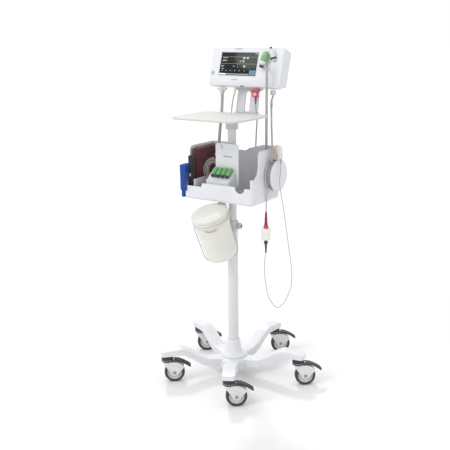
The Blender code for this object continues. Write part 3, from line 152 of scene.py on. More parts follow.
def spread(tree, source, low, high, start=0.3, end=0.7):
    """A texture's middle values stretched to run from low to high."""
    made = linked(tree, "ShaderNodeMapRange", {1: start, 2: end, 3: low, 4: high}, {0: source})
    return made.outputs["Result"]


def two_tone(tree, factor, first, second):
    """Two colours mixed by a texture; the first may also be a socket."""
    made = tree.nodes.new("ShaderNodeMix")
    made.data_type = "RGBA"
    tree.links.new(factor, made.inputs[0])
    if isinstance(first, bpy.types.NodeSocket):
        tree.links.new(first, made.inputs[6])
    else:
        made.inputs[6].default_value = (*first, 1)
    made.inputs[7].default_value = (*second, 1)
    return made.outputs[2]


def bumped(tree, shader, height, depth, strength=1.0):
    bump = linked(tree, "ShaderNodeBump", {"Strength": strength, "Distance": depth}, {"Height": height})
    tree.links.new(bump.outputs["Normal"], shader.inputs["Normal"])


def shade(colour, factor):
    return tuple(min(1.0, channel * factor) for channel in colour)


def moulded(name, colour, roughness, metallic=0.0, grain=1500, depth=0.00003, mottle=0.03, mottle_scale=14,
            uneven=0.06, coat=0.0, transmission=0.0):
    """A solid material with a fine surface grain, uneven gloss and faint colour drift."""
    made, tree, shader, where = graph(name)
    drift = spread(tree, noise(tree, where, mottle_scale, 4), 0, 1)
    tree.links.new(two_tone(tree, drift, shade(colour, 1 - mottle), shade(colour, 1 + mottle)),
                   shader.inputs["Base Color"])
    smear = spread(tree, noise(tree, where, 55, 5, 0.65), roughness - uneven, roughness + uneven)
    tree.links.new(smear, shader.inputs["Roughness"])
    bumped(tree, shader, noise(tree, where, grain, 3, 0.6), depth)
    shader.inputs["Metallic"].default_value = metallic
    shader.inputs["Coat Weight"].default_value = coat
    shader.inputs["Coat Roughness"].default_value = 0.12
    shader.inputs["Transmission Weight"].default_value = transmission
    return made


def brushed(name, colour, roughness, metallic=0.95):
    """Drawn, plated or satin metal: gloss streaked along its height."""
    made, tree, shader, where = graph(name)
    pulled = linked(tree, "ShaderNodeMapping", {"Scale": (90, 90, 2.25)}, {"Vector": where})
    streak = noise(tree, pulled.outputs["Vector"], 12, 5, 0.6)
    tree.links.new(spread(tree, streak, roughness - 0.08, roughness + 0.1), shader.inputs["Roughness"])
    tree.links.new(two_tone(tree, spread(tree, streak, 0, 1), shade(colour, 0.9), shade(colour, 1.06)),
                   shader.inputs["Base Color"])
    bumped(tree, shader, streak, 0.00002, 0.6)
    shader.inputs["Metallic"].default_value = metallic
    return made


def woven(name, colour, sheen=0.25):
    """Coated nylon cloth: crossed threads with a painted highlight on each crown and painted shade between
    them, faded in soft patches.
    """
    made, tree, shader, where = graph(name)
    waves = []
    for turn in ((0, 0, math.radians(12)), (0, math.pi / 2, 0)):
        laid = linked(tree, "ShaderNodeMapping", {"Rotation": turn}, {"Vector": where})
        wave = linked(tree, "ShaderNodeTexWave", {"Scale": WAVE_UNIT / THREAD_WIDTH, "Distortion": 0.6,
                                                  "Detail": 1.0}, {"Vector": laid.outputs["Vector"]})
        waves.append(wave.outputs["Fac"])
    crossed = tree.nodes.new("ShaderNodeMath")
    crossed.operation = "MULTIPLY"
    tree.links.new(waves[0], crossed.inputs[0])
    tree.links.new(waves[1], crossed.inputs[1])
    # painted light: each thread lighter on its crown and darker in the hollows between, following the weave's
    # bump
    thread_highlight_and_shade = two_tone(tree, crossed.outputs[0], shade(colour, 0.78), shade(colour, 1.3))
    patch = spread(tree, noise(tree, where, 30, 4), 0, 0.35)
    tree.links.new(two_tone(tree, patch, thread_highlight_and_shade, shade(colour, 1.7)), shader.inputs["Base Color"])
    bumped(tree, shader, crossed.outputs[0], 0.00012, 0.8)
    shader.inputs["Roughness"].default_value = 0.85
    shader.inputs["Sheen Weight"].default_value = sheen
    return made


def lit(name, colour, strength):
    """A lit part of the screen, with the faint rows of its pixels."""
    made, tree, shader, where = graph(name)
    rows = linked(tree, "ShaderNodeTexWave", {"Scale": WAVE_UNIT / PIXEL_ROW},
                  {"Vector": where}).outputs["Fac"]
    glow = two_tone(tree, rows, shade(colour, 0.75), colour)
    tree.links.new(glow, shader.inputs["Base Color"])
    tree.links.new(glow, shader.inputs["Emission Color"])
    shader.inputs["Emission Strength"].default_value = strength
    shader.inputs["Roughness"].default_value = 0.3
    return made


WHITE_PAINT = moulded("white_powder_coat", (0.67, 0.68, 0.71), 0.36, grain=900, depth=0.00006, mottle=0.02)
CASE_WHITE = moulded("case_white", (0.68, 0.69, 0.715), 0.42, grain=2200, depth=0.00004, mottle=0.018)
BASKET_WHITE = moulded("basket_white", (0.67, 0.675, 0.71), 0.46, grain=1500, depth=0.00005, mottle=0.025)
BIN_WHITE = moulded("bin_ivory", (0.7, 0.69, 0.645), 0.4, grain=1800, depth=0.00003, mottle=0.035,
                    mottle_scale=22)
COLUMN_GREY = brushed("column_satin", (0.66, 0.67, 0.67), 0.36, metallic=0.25)
HEAD_GREY = moulded("bracket_grey", (0.58, 0.58, 0.61), 0.4, metallic=0.1, grain=1000, depth=0.00006)
CASTER_GREY = moulded("caster_grey", (0.66, 0.67, 0.66), 0.38, metallic=0.15, grain=1300, depth=0.00004,
                      mottle=0.05)
HUB_GREY = moulded("hub_grey", (0.52, 0.53, 0.52), 0.45, grain=1200, depth=0.00005, mottle=0.05)
TYRE = moulded("tyre_rubber", (0.042, 0.04, 0.04), 0.66, grain=700, depth=0.00012, mottle=0.35,
               mottle_scale=60)
BLACK_PLASTIC = moulded("black_plastic", (0.028, 0.028, 0.03), 0.46, grain=1400, depth=0.00006, mottle=0.25)
GREY_PLASTIC = moulded("grey_plastic", (0.56, 0.57, 0.57), 0.46, grain=1600, depth=0.00005)
TRAY_GREY = moulded("tray_grey", (0.59, 0.59, 0.56), 0.44, grain=1100, depth=0.00009, mottle=0.03,
                    mottle_scale=9)
BEIGE = moulded("beige_plastic", (0.58, 0.5, 0.41), 0.44, grain=1700, depth=0.00004)
GREEN = moulded("green_translucent", (0.22, 0.56, 0.21), 0.24, grain=1200, depth=0.00003, mottle=0.1,
                coat=0.4, transmission=0.35)
DARK_TIP = moulded("dark_tip", (0.03, 0.036, 0.055), 0.4, grain=1600, depth=0.00004, mottle=0.2)
RED = moulded("red_plastic", (0.52, 0.04, 0.095), 0.34, grain=1700, depth=0.00003, mottle=0.08, coat=0.2)
DARK_RED = moulded("dark_red_plastic", (0.24, 0.012, 0.035), 0.36, grain=1700, depth=0.00003, mottle=0.1)
REEL_CABLE = moulded("wound_cable", (0.3, 0.31, 0.29), 0.5, grain=1500, depth=0.00006, mottle=0.1)
# painted shadow: a darker beige for the shade in the gap and latch under the bin's lid
BIN_SLOT_SHADOW = moulded("bin_slot_shadow", (0.46, 0.43, 0.36), 0.5, grain=1700, depth=0.00004)
PINK = moulded("pale_red_plastic", (0.8, 0.42, 0.44), 0.34, grain=1700, depth=0.00003, mottle=0.06)
HOSE = moulded("hose_rubber", (0.36, 0.36, 0.33), 0.55, grain=1300, depth=0.00008, mottle=0.07,
               mottle_scale=40)
COIL_HOSE = moulded("coil_rubber", (0.34, 0.33, 0.29), 0.5, grain=1300, depth=0.00008, mottle=0.12,
                    mottle_scale=40)
DARK_CABLE = moulded("dark_cable", (0.1, 0.1, 0.11), 0.5, grain=1500, depth=0.00006, mottle=0.12)
WHITE_CABLE = moulded("white_cable", (0.46, 0.46, 0.42), 0.42, grain=1800, depth=0.00005, mottle=0.04,
                      mottle_scale=40)
CREAM = moulded("cream_relief", (0.74, 0.71, 0.62), 0.46, grain=1600, depth=0.00005)
MAROON = woven("maroon_nylon", (0.08, 0.013, 0.021), sheen=0.12)
BLACK_CLOTH = woven("black_nylon", (0.016, 0.016, 0.019))
BLUE_CLOTH = woven("blue_nylon", (0.004, 0.044, 0.27), sheen=0.08)
HEM_CLOTH = woven("pale_blue_nylon", (0.2, 0.28, 0.48))
PALE_CLOTH = woven("pale_lining", (0.62, 0.6, 0.6), sheen=0.1)
THREAD = moulded("stitching", (0.17, 0.06, 0.07), 0.7, grain=3000, depth=0.0001, mottle=0.2, mottle_scale=400)
GLASS = moulded("screen_glass", (0.008, 0.008, 0.01), 0.14, grain=400, depth=0.000004, mottle=0.3,
                uneven=0.03)
GLASS.node_tree.nodes["Principled BSDF"].inputs["Specular IOR Level"].default_value = 0.25
WIRE = brushed("bright_wire", (0.36, 0.36, 0.37), 0.28)
BOARD = moulded("circuit_board", (0.02, 0.15, 0.07), 0.45, grain=900, depth=0.0001, mottle=0.35,
                mottle_scale=160)
CELL = moulded("battery_wrap", (0.07, 0.08, 0.11), 0.5, grain=1400, depth=0.00005, mottle=0.15)
BLUE_MARK = moulded("blue_mark", (0.12, 0.2, 0.46), 0.4, grain=1500, depth=0.00003)
BUTTON_BLUE = moulded("button_blue", (0.5, 0.58, 0.7), 0.4, grain=1500, depth=0.00003)
GREY_MARK = moulded("grey_mark", (0.12, 0.19, 0.17), 0.4, grain=1500, depth=0.00003)
JUNCTION_SHELL = moulded("junction_shell", (0.76, 0.74, 0.7), 0.4, mottle=0.06, mottle_scale=90)
LIT_WHITE = lit("lit_white", (0.8, 0.86, 0.84), 0.6)
LIT_GREEN = lit("lit_green", (0.3, 0.62, 0.34), 0.5)
LIT_YELLOW = lit("lit_yellow", (0.52, 0.48, 0.28), 0.35)
LIT_BLUE = lit("lit_blue", (0.3, 0.4, 0.52), 0.45)
LIT_TEAL = lit("lit_teal", (0.06, 0.16, 0.21), 0.35)
LIT_GREY = lit("lit_grey", (0.24, 0.26, 0.27), 0.35)
LIT_RED = lit("lit_red", (0.9, 0.1, 0.12), 1.2)


# ---- forms ----
def as_mesh(form, name):
    mesh = bpy.data.meshes.new(name)
    form.to_mesh(mesh)
    form.free()
    return mesh


def piece(name, form, paint, body, place=HERE, stands_for=(), sharp=34):
    """A finished piece: smooth-shaded, painted, in place, riding on its body."""
    mesh = form if isinstance(form, bpy.types.Mesh) else as_mesh(form, name)
    mesh.shade_smooth()
    mesh.set_sharp_from_angle(angle=math.radians(sharp))
    mesh.materials.clear()
    mesh.materials.append(paint)
    made = bpy.data.objects.new(name, mesh)
    bpy.context.scene.collection.objects.link(made)
    made.matrix_world = place
    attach(made, body)
    if stands_for:
        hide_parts(*stands_for)
    return made


def outline_box(left, right, low, high, radius, steps=8):
    """Anticlockwise outline of a rectangle with round corners."""
    outline = []
    for x, y, start in ((right, high, 0), (left, high, 90), (left, low, 180), (right, low, 270)):
        centre_x = x - math.copysign(radius, x - (left + right) / 2)
        centre_y = y - math.copysign(radius, y - (low + high) / 2)
        for step in range(steps + 1):
            angle = math.radians(start + 90 * step / steps)
            outline.append((centre_x + radius * math.cos(angle), centre_y + radius * math.sin(angle)))
    return outline


def extruded(outline, low, high, axis="Z", rim=0.0, segments=3):
    """An outline carried from low to high along an axis; rim rounds its end edges."""
    place = {"Z": lambda a, b, c: (a, b, c), "Y": lambda a, b, c: (a, c, b), "X": lambda a, b,
             c: (c, a, b)}[axis]
    form = bmesh.new()
    foot = [form.verts.new(place(a, b, low)) for a, b in outline]
    head = [form.verts.new(place(a, b, high)) for a, b in outline]
    ends = [form.faces.new(foot), form.faces.new(head)]
    for index in range(len(outline)):
        after = (index + 1) % len(outline)
        form.faces.new((foot[index], foot[after], head[after], head[index]))
    bmesh.ops.recalc_face_normals(form, faces=form.faces)
    if rim:
        edges = list({edge for face in ends for edge in face.edges})
        bmesh.ops.bevel(form, geom=edges, offset=rim, segments=segments, affect="EDGES", profile=0.5)
    return form


def slab(size, centre, radius=0.002, segments=3):
    """A block with every edge rounded."""
    form = bmesh.new()
    bmesh.ops.create_cube(form, size=1.0)
    bmesh.ops.scale(form, vec=size, verts=form.verts)
    bmesh.ops.translate(form, vec=centre, verts=form.verts)
    bmesh.ops.bevel(form, geom=form.edges[:], offset=radius, segments=segments, affect="EDGES", profile=0.5)
    return form


def turned(profile, steps=72, ring=False):
    """A profile of (radius, height) turned about Z. With ring, it closes on itself clear of the axis."""
    form = bmesh.new()
    rows = []
    for radius, height in profile:
        if radius < 1e-6:
            rows.append([form.verts.new((0, 0, height))])
            continue
        rows.append([form.verts.new((radius * math.cos(a), radius * math.sin(a), height))
                     for a in round_points(steps)])
    pairs = list(zip(rows, rows[1:]))
    if ring:
        pairs.append((rows[-1], rows[0]))
    for row, following in pairs:
        for step in range(steps):
            after = (step + 1) % steps
            if len(row) == 1:
                form.faces.new((row[0], following[step], following[after]))
            elif len(following) == 1:
                form.faces.new((row[step], row[after], following[0]))
            else:
                form.faces.new((row[step], row[after], following[after], following[step]))
    bmesh.ops.recalc_face_normals(form, faces=form.faces)
    return form


def eased(profile, radius=0.0006, steps=3):
    """The profile with its corners rounded, for turning."""
    rounded = [profile[0]]
    for before, corner, after in zip(profile, profile[1:], profile[2:]):
        b, c, a = Vector(before), Vector(corner), Vector(after)
        reach = min(radius, (b - c).length * 0.45, (a - c).length * 0.45)
        start, end = c + (b - c).normalized() * reach, c + (a - c).normalized() * reach
        for step in range(steps + 1):
            t = step / steps
            rounded.append(tuple(start * (1 - t) ** 2 + c * (2 * t * (1 - t)) + end * t ** 2))
    rounded.append(profile[-1])
    return rounded


def pointing(direction, location=(0, 0, 0)):
    """The place that stands a form made on Z along a direction."""
    turn = Vector((0, 0, 1)).rotation_difference(Vector(direction)).to_matrix().to_4x4()
    return Matrix.Translation(location) @ turn


def moved(form, place):
    """The form itself, moved to a place."""
    bmesh.ops.transform(form, matrix=place, verts=form.verts)
    return form


def gathered(*forms):
    """Several forms in one mesh."""
    whole = bmesh.new()
    for form in forms:
        mesh = as_mesh(form, "part")
        whole.from_mesh(mesh)
        bpy.data.meshes.remove(mesh)
    return whole


def curve_points(points, spacing):
    """Evenly spaced points on a smooth curve (centripetal Catmull-Rom) through the points given."""
    route = [Vector(point) for point in points]
    route = [2 * route[0] - route[1], *route, 2 * route[-1] - route[-2]]
    fine = [route[1]]
    for index in range(1, len(route) - 2):
        a, b, c, d = route[index - 1:index + 3]
        knots = [0.0]
        for start, end in ((a, b), (b, c), (c, d)):
            knots.append(knots[-1] + math.sqrt((end - start).length))
        for step in range(1, 17):
            t = knots[1] + (knots[2] - knots[1]) * step / 16
            ab = a.lerp(b, (t - knots[0]) / (knots[1] - knots[0]))
            bc = b.lerp(c, (t - knots[1]) / (knots[2] - knots[1]))
            cd = c.lerp(d, (t - knots[2]) / (knots[3] - knots[2]))
            abc = ab.lerp(bc, (t - knots[0]) / (knots[2] - knots[0]))
            bcd = bc.lerp(cd, (t - knots[1]) / (knots[3] - knots[1]))
            fine.append(abc.lerp(bcd, (t - knots[1]) / (knots[2] - knots[1])))
    length = sum((after - before).length for before, after in zip(fine, fine[1:]))
    count = max(2, round(length / spacing))
    spaced, walked = [fine[0]], 0.0
    for before, after in zip(fine, fine[1:]):
        stretch = (after - before).length
        while len(spaced) < count and walked + stretch >= length * len(spaced) / count:
            spaced.append(before.lerp(after, (length * len(spaced) / count - walked) / stretch))
        walked += stretch
    spaced.append(fine[-1])
    return spaced


def tube(points, radius, sides=14, closed=False):
    """A round tube along the points; radius is a number or a function of the share of the way along."""
    count = len(points)
    form = bmesh.new()
    rings = []
    side = None
    for index, point in enumerate(points):
        before = points[(index - 1) % count] if closed or index else point
        after = points[(index + 1) % count] if closed or index < count - 1 else point
        ahead = (after - before).normalized()
        if side is None:
            side = ahead.orthogonal().normalized()
        side = (side - ahead * side.dot(ahead)).normalized()
        up = ahead.cross(side)
        thick = radius(index / (count - 1)) if callable(radius) else radius
        rings.append([form.verts.new(point + side * (thick * math.cos(a)) + up * (thick * math.sin(a)))
                      for a in round_points(sides)])
    pairs = list(zip(rings, rings[1:]))
    if closed:
        pairs.append((rings[-1], rings[0]))
    for ring, following in pairs:
        for k in range(sides):
            after = (k + 1) % sides
            form.faces.new((ring[k], ring[after], following[after], following[k]))
    if not closed:
        form.faces.new(rings[0][::-1])
        form.faces.new(rings[-1])
    bmesh.ops.recalc_face_normals(form, faces=form.faces)
    return form


def round_points(count):
    """The angles of so many points round a circle."""
    return [2 * math.pi * k / count for k in range(count)]


def refined(node, paint, body, width, angle, segments=2):
    """The CAD node's own shape as a finer piece: welded, with its hard edges rounded."""
    form = bmesh.new()
    form.from_mesh(frame["nodes"][node].data)
    bmesh.ops.remove_doubles(form, verts=form.verts, dist=2e-6)
    bmesh.ops.dissolve_limit(form, angle_limit=math.radians(1.0), verts=form.verts, edges=form.edges)
    made = piece(node + "_shell", form, paint, body, stands_for=(node,), sharp=angle)
    bevel = made.modifiers.new("bevel", "BEVEL")
    bevel.width = width
    bevel.segments = segments
    bevel.limit_method = "ANGLE"
    bevel.angle_limit = math.radians(angle)
    bevel.use_clamp_overlap = True
    bevel.harden_normals = True
    return made


# ---- cords: the same routes as the CAD source, in millimetres from the column's axis ----
NIBP_ROUTE = mm((-97, 86, 1035.2), (-97, 86, 1029), (-96, 82, 1000), (-94.5, 76, 970), (-93, 69, 945),
                (-91.5, 62, 920), (-89, 54, 895), (-86.5, 46, 868), (-81.5, 34, 849), (-75, 19, 839),
                (-69, 6, 836), (-67, -1, 830))
SPO2_ROUTE = mm((44, 86, 1007.3), (44, 86, 1003), (46.5, 84, 988), (50.5, 81.5, 975), (53, 80, 960),
                (53, 80.5, 945), (50, 83, 920), (45, 88, 890), (40.5, 93.5, 862), (39, 96.5, 840),
                (43, 98.5, 815), (58, 100, 790), (85, 103, 772), (115, 108, 766), (138, 111, 766),
                (153, 108, 768), (159.2, 99, 770.5), (159.2, 87.8, 772))
PROBE_ROUTE = mm((88, 86.6, 1135.3), (88, 81.5, 1136.9), (88, 76.7, 1138.3), (90.5, 71.5, 1139),
                 (96, 66.8, 1137.5), (102.5, 62.2, 1131), (105.3, 59, 1120), (106, 58, 1105),
                 (105.3, 59, 1085), (104, 61, 1060), (102, 64, 1030), (100.6, 66, 980), (99.3, 68, 930),
                 (98.7, 69, 890), (98.7, 69, 850), (98.5, 69, 800), (97.5, 67, 750), (95, 60, 717),
                 (89, 45, 699), (83, 25, 694.2), (78, 5, 693.8))
DATA_ROUTE = mm((-42, 84, 1058.5), (-43, 84, 1045), (-46.5, 83.5, 1030), (-50, 82, 1012), (-52.5, 80, 990),
                (-50, 74, 965), (-42, 64, 940), (-31, 50, 915), (-20, 34, 890), (-14, 27.5, 860),
                (-12, 26.5, 820), (-12, 27.5, 770), (-12, 33, 725), (-14, 43, 702), (-18, 56, 693.5),
                (-23, 70, 692.6))
AUX_ROUTE = mm((115, 86, 1042.1), (115, 86, 1038.5), (112, 86.2, 1032), (109, 86.6, 1024),
               (108.2, 86.8, 1016), (108.2, 86.6, 1006), (109.5, 84.5, 985), (115, 76, 952), (124, 62, 927),
               (134.5, 46, 906), (144, 31, 888), (153, 17, 872), (158, 7, 857), (159.4, 1.2, 842),
               (159.5, 1, 832), (159.5, 5.6, 822.5))
SENSOR_ROUTE = mm((181.5, 26, 815.9), (181.6, 25.9, 812), (182.8, 24, 801), (183.5, 18.5, 780),
                  (185, 13.5, 755), (188.5, 13.7, 728.8), (194.7, 17.3, 686.6), (199.5, 20.2, 650),
                  (204.2, 22.9, 615.5), (209.5, 25.8, 570), (214, 28.6, 532.4), (218.9, 31.5, 492.3),
                  (223.5, 34, 450), (225.3, 35.1, 411), (222.5, 33.5, 375), (214.3, 28.8, 347),
                  (201, 21.2, 316), (182.5, 10.2, 298.5), (166, 0.8, 315), (153, -7, 346.1),
                  (146.5, -10.8, 385), (142.9, -12.9, 421.1), (141.5, -13.8, 460), (143, -12.8, 483),
                  (145.7, -11.2, 497), (146, -11, 502.3))
PATIENT_ROUTE = mm((146, -11, 651.4), (146, -11, 657), (146.5, -11.2, 670), (147.5, -11.5, 685),
                   (149.5, -11.5, 705), (153.5, -14, 720), (157.5, -16.5, 731), (159, -14, 735.2),
                   (159, -9, 739.2))


def lay_cord(node, route, diameter, paint, moves_with=None):
    """One cord along its route. If its exit moves, the whole cord is left in world place on no body; otherwise
    it rides on the mast.
    """
    path = curve_points([at(*spot) for spot in route], 0.004)
    mesh = as_mesh(tube(path, diameter / 2, sides=16), node)
    mesh.shade_smooth()
    mesh.materials.append(paint)
    cord = bpy.data.objects.new(node + "_line", mesh)
    bpy.context.scene.collection.objects.link(cord)
    if moves_with:
        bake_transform(cord)
    else:
        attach(cord, "mast")
    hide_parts(node)


def sleeve_on(name, route, start, end, radius, paint, body="mast"):
    """A relief or collar over a cord, between two places counted in millimetres along its route."""
    covered = curve_points([at(*spot) for spot in route], 0.001)[start:end]
    piece(name, tube(covered, radius, sides=28), paint, body, sharp=50)


def ringed(low, high, rings, depth=0.12):
    """A relief's radius along it: a taper from high to low with grooves round it."""
    def radius(share):
        groove = depth * (0.5 + 0.5 * math.cos(2 * math.pi * rings * share))
        return (high + (low - high) * share) * (1 - groove * (0.15 < share < 0.92))
    return radius


def build_cords():
    for node, route, diameter in (("nibp_hose", NIBP_ROUTE, 0.011), ("spo2_cable", SPO2_ROUTE, 0.005),
                                  ("probe_cord", PROBE_ROUTE, 0.009), ("data_cable", DATA_ROUTE, 0.0045),
                                  ("aux_cable", AUX_ROUTE, 0.0064)):
        lay_cord(node, route, diameter, HOSE, "monitor")
    lay_cord("sensor_cable", SENSOR_ROUTE, 0.0034, WHITE_CABLE, "finger_clip_jaw")
    lay_cord("patient_cable", PATIENT_ROUTE, 0.0048, WHITE_CABLE)
    sleeve_on("data_relief", DATA_ROUTE, 0, 18, lambda share: 0.0058 - 0.0024 * share ** 3, CREAM, "monitor")
    sleeve_on("data_boot", DATA_ROUTE, -30, None, lambda share: 0.0028 + 0.001 * min(1, share * 3),
              GREY_PLASTIC)
    sleeve_on("probe_boot", PROBE_ROUTE, -30, None, lambda share: 0.0048 + 0.001 * min(1, share * 3),
              GREY_PLASTIC)
    sleeve_on("aux_joint", AUX_ROUTE, 24, 46,
              lambda share: 0.0035 + 0.0012 * math.sin(math.pi * share) ** 0.5, HOSE)


build_cords()


# ---- base ----
def build_base():
    refined("base_star", WHITE_PAINT, "base", 0.0035, 24, segments=3)
    boot_low = 0.0783
    boot = eased([(0.0196, boot_low), (0.0458, boot_low), (0.0458, 0.0815), (0.044, 0.0835), (0.038, 0.0872),
                  (0.0335, 0.093), (0.031, 0.099), (0.0285, 0.107), (0.027, 0.116), (0.025, 0.13),
                  (0.0235, 0.14), (0.022, 0.143), (0.0196, 0.143)], 0.002)
    piece("boot_shell", turned(boot, 96, ring=True), WHITE_PAINT, "base", COLUMN_AXIS, ("hub_boot",))
    lower = eased([(0.0172, pole_low.z), (0.019, pole_low.z), (0.019, pole_high.z), (0.0172, pole_high.z)],
                  0.0006)
    piece("lower_tube", turned(lower, 96, ring=True), COLUMN_GREY, "base", COLUMN_AXIS, ("lower_pole",))
    collar = eased(mm((15.5, 563), (19.5, 563), (21.1, 566.5), (21.1, 579), (20.5, 580), (20.5, 581.5),
                      (21.1, 582.5), (21.1, 595), (18.7, 600), (15.5, 600)), 0.001)
    boss = moved(turned(eased(mm((0, 12), (9.2, 12), (9.2, 24.2), (3.6, 24.2)), 0.001), 48),
                 pointing((1, 0, 0), (0, 0, 0.582)))
    piece("collar_shell", gathered(turned(collar, 96, ring=True), boss), GREY_PLASTIC, "base", COLUMN_AXIS,
          ("pole_collar",))
    lobes = [(0.0107 + 0.0011 * math.cos(6 * a), a) for a in round_points(96)]
    grip = extruded([(r * math.cos(a), r * math.sin(a)) for r, a in lobes], 0.0002, 0.0118, rim=0.0016)
    cap = moved(turned(eased(mm((0, 0), (5.2, 0), (4.6, 1.2), (0, 1.6)), 0.0004), 40),
                Matrix.Translation((0, 0, 0.0112)))
    screw = turned(mm((0, -9), (3, -9), (3, 1), (0, 1)), 24)
    knob_place = Matrix.Translation(Vector(JOINTS["height_knob_turn"]["pos_m"])) @ ALONG_X
    piece("knob_grip", gathered(grip, screw), GREY_PLASTIC, "knob", knob_place, ("height_knob",))
    piece("knob_cap", cap, BLACK_PLASTIC, "knob", knob_place)


PEDAL_SLOPE = math.radians(31)


def build_casters():
    """Each caster in its own axes: from the stem, along its trail, and up from the floor."""
    for number in range(1, 6):
        swivel = Vector(JOINTS[f"caster_swivel_{number}"]["pos_m"])
        axle = Vector(JOINTS[f"wheel_spin_{number}"]["pos_m"])
        trail = Vector((axle.x - swivel.x, axle.y - swivel.y, 0)).normalized()
        heading = math.atan2(trail.y, trail.x)
        place = Matrix.Translation((swivel.x, swivel.y, 0)) @ Matrix.Rotation(heading, 4, "Z")
        fork, wheel, pedal = f"caster_{number}", f"wheel_{number}", f"pedal_{number}"
        refined(f"caster_fork_{number}", CASTER_GREY, fork, 0.0011, 38)
        cap = eased(mm((0, 80.2), (20.6, 80.2), (21.3, 81.8), (21.3, 85.8), (20.6, 86.4), (20.6, 87.2),
                       (21.3, 87.8), (21.3, 101.8), (19.7, 104), (0, 104.1)), 0.0006)
        piece(f"swivel_cap_{number}", turned(cap, 64), BLACK_PLASTIC, fork, place)
        wheel_place = Matrix.Translation(axle) @ Matrix.Rotation(heading, 4,
                                                                 "Z") @ Matrix.Rotation(math.pi / 2, 4, "X")
        tyre = eased(mm((26.2, -11.2), (28.5, -11.9), (34, -12), (36.4, -11), (37.4, -8), (37.5, 0),
                        (37.4, 8), (36.4, 11), (34, 12), (28.5, 11.9), (26.2, 11.2)), 0.0008)
        piece(f"tyre_{number}", turned(tyre, 80, ring=True), TYRE, wheel, wheel_place,
              (f"caster_wheel_{number}",))
        half = [(0.0045, -0.0116), (0.0095, -0.0116), (0.0105, -0.009), (0.012, -0.0078), (0.0215, -0.0078),
                (0.023, -0.0092), (0.0242, -0.0113), (0.0268, -0.0114)]
        rim = eased(half + [(radius, -height) for radius, height in reversed(half)], 0.0007)
        piece(f"wheel_rim_{number}", turned(rim, 80, ring=True), HUB_GREY, wheel, wheel_place)
        bolts = []
        for side in (-1, 1):
            hexagon = [(0.0042 * math.cos(a), 0.0042 * math.sin(a)) for a in round_points(6)]
            bolts.append(moved(extruded(hexagon, 0.0158, 0.0186, rim=0.0005), pointing((0, side, 0))))
            washer = turned(eased(mm((0, 15), (6.4, 15), (6.4, 16.4), (0, 16.4)), 0.0003), 32)
            bolts.append(moved(washer, pointing((0, side, 0))))
        piece(f"axle_bolt_{number}", gathered(*bolts), WIRE, fork,
              Matrix.Translation(axle) @ Matrix.Rotation(heading, 4, "Z"))
        refined(f"brake_pedal_{number}", BLACK_PLASTIC, pedal, 0.0012, 40)
        ribs = [moved(slab((0.0016, 0.018, 0.001), (0, 0, 0), 0.0004, 2),
                      Matrix.Translation((x, 0, z)) @ Matrix.Rotation(PEDAL_SLOPE, 4, "Y"))
                for x, z in ((0.06, 0.079), (0.0665, 0.0755), (0.073, 0.0717), (0.0795, 0.0672))]
        piece(f"pedal_grip_{number}", gathered(*ribs), TYRE, pedal, place)
        spring = [(0.068, 0.0664), (0.071, 0.0647), (0.0835, 0.0556), (0.0829, 0.0546), (0.0703, 0.0636),
                  (0.0674, 0.0652)]
        piece(f"pedal_spring_{number}", extruded(spring, -0.0075, 0.0075, axis="Y", rim=0.0003), WIRE, pedal,
              place)


build_base()
build_casters()


# ---- basket, rack and what they hold ----
def build_basket():
    refined("basket", BASKET_WHITE, "mast", 0.001, 34)
    low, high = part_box("basket")
    for number, (y, z) in enumerate(((low.y + 0.04, 0.72), (high.y - 0.012, 0.845)), 1):
        rivet = turned(eased(mm((0, 0), (3.5, 0), (2.8, 1.2), (0, 1.6)), 0.0004), 24)
        piece(f"basket_rivet_{number}", rivet, GREY_PLASTIC, "mast",
              pointing((-1, 0, 0), (low.x + 0.0002, y, z)))
    refined("probe_rack", CASE_WHITE, "mast", 0.001, 36)
    marks = [slab((width, 0.0005, 0.0034), at(x, -0.0334, z), 0.0002, 1)
             for x, z, width in ((-0.01, 0.836, 0.0075), (0.0, 0.836, 0.0075), (0.0105, 0.8352, 0.0085),
                                 (0.019, 0.8352, 0.004))]
    piece("rack_mark", gathered(*marks), GREY_MARK, "mast")
    lug = turned(eased(mm((0, 0), (5, 0), (4.6, 1), (0, 1.2)), 0.0003), 32)
    piece("rack_lug_cap", lug, CASE_WHITE, "mast", pointing((0, -1, 0), at(-0.026, -0.0374, 0.8665)))
    strip = slab((0.003, 0.04, 0.03), at(-0.059, -0.056, 0.722), 0.0008, 2)
    piece("holder_strip", strip, BEIGE, "mast")


def build_spare_probes():
    """Each spare probe: a clear green head with grip rings and a dark nose, lying in its groove."""
    rear, front = Vector((0, -0.0395, 0.7945)), Vector((0, -0.0725, 0.7685))
    way = (front - rear).normalized()
    reach = (front - rear).length
    for number, x in enumerate((-0.037, -0.0172, 0.0026, 0.0224), 1):
        place = pointing(way, at(x, rear.y, rear.z))
        head = eased(mm((0, 0), (5, 0.2), (7.8, 3), (8.7, 8), (8.2, 10.5), (8.7, 13), (8.2, 15.5), (8.7, 18),
                        (8.7, 24.5), (7, 31), (6, 34.5), (0, 34.5)), 0.0006)
        nose = eased([(0, 0.034), (0.0066, 0.034), (0.0066, 0.037), (0.0058, 0.0385), (0.0058, reach - 0.001),
                      (0.005, reach), (0, reach)], 0.0006)
        piece(f"spare_head_{number}", turned(head, 48), GREEN, f"spare_probe_{number}", place,
              (f"spare_probe_{number}",))
        piece(f"spare_nose_{number}", turned(nose, 48), DARK_TIP, f"spare_probe_{number}", place)


CLOTH_PRESSURE, CLOTH_QUALITY, CLOTH_FRAMES = 3.5, 4, 16


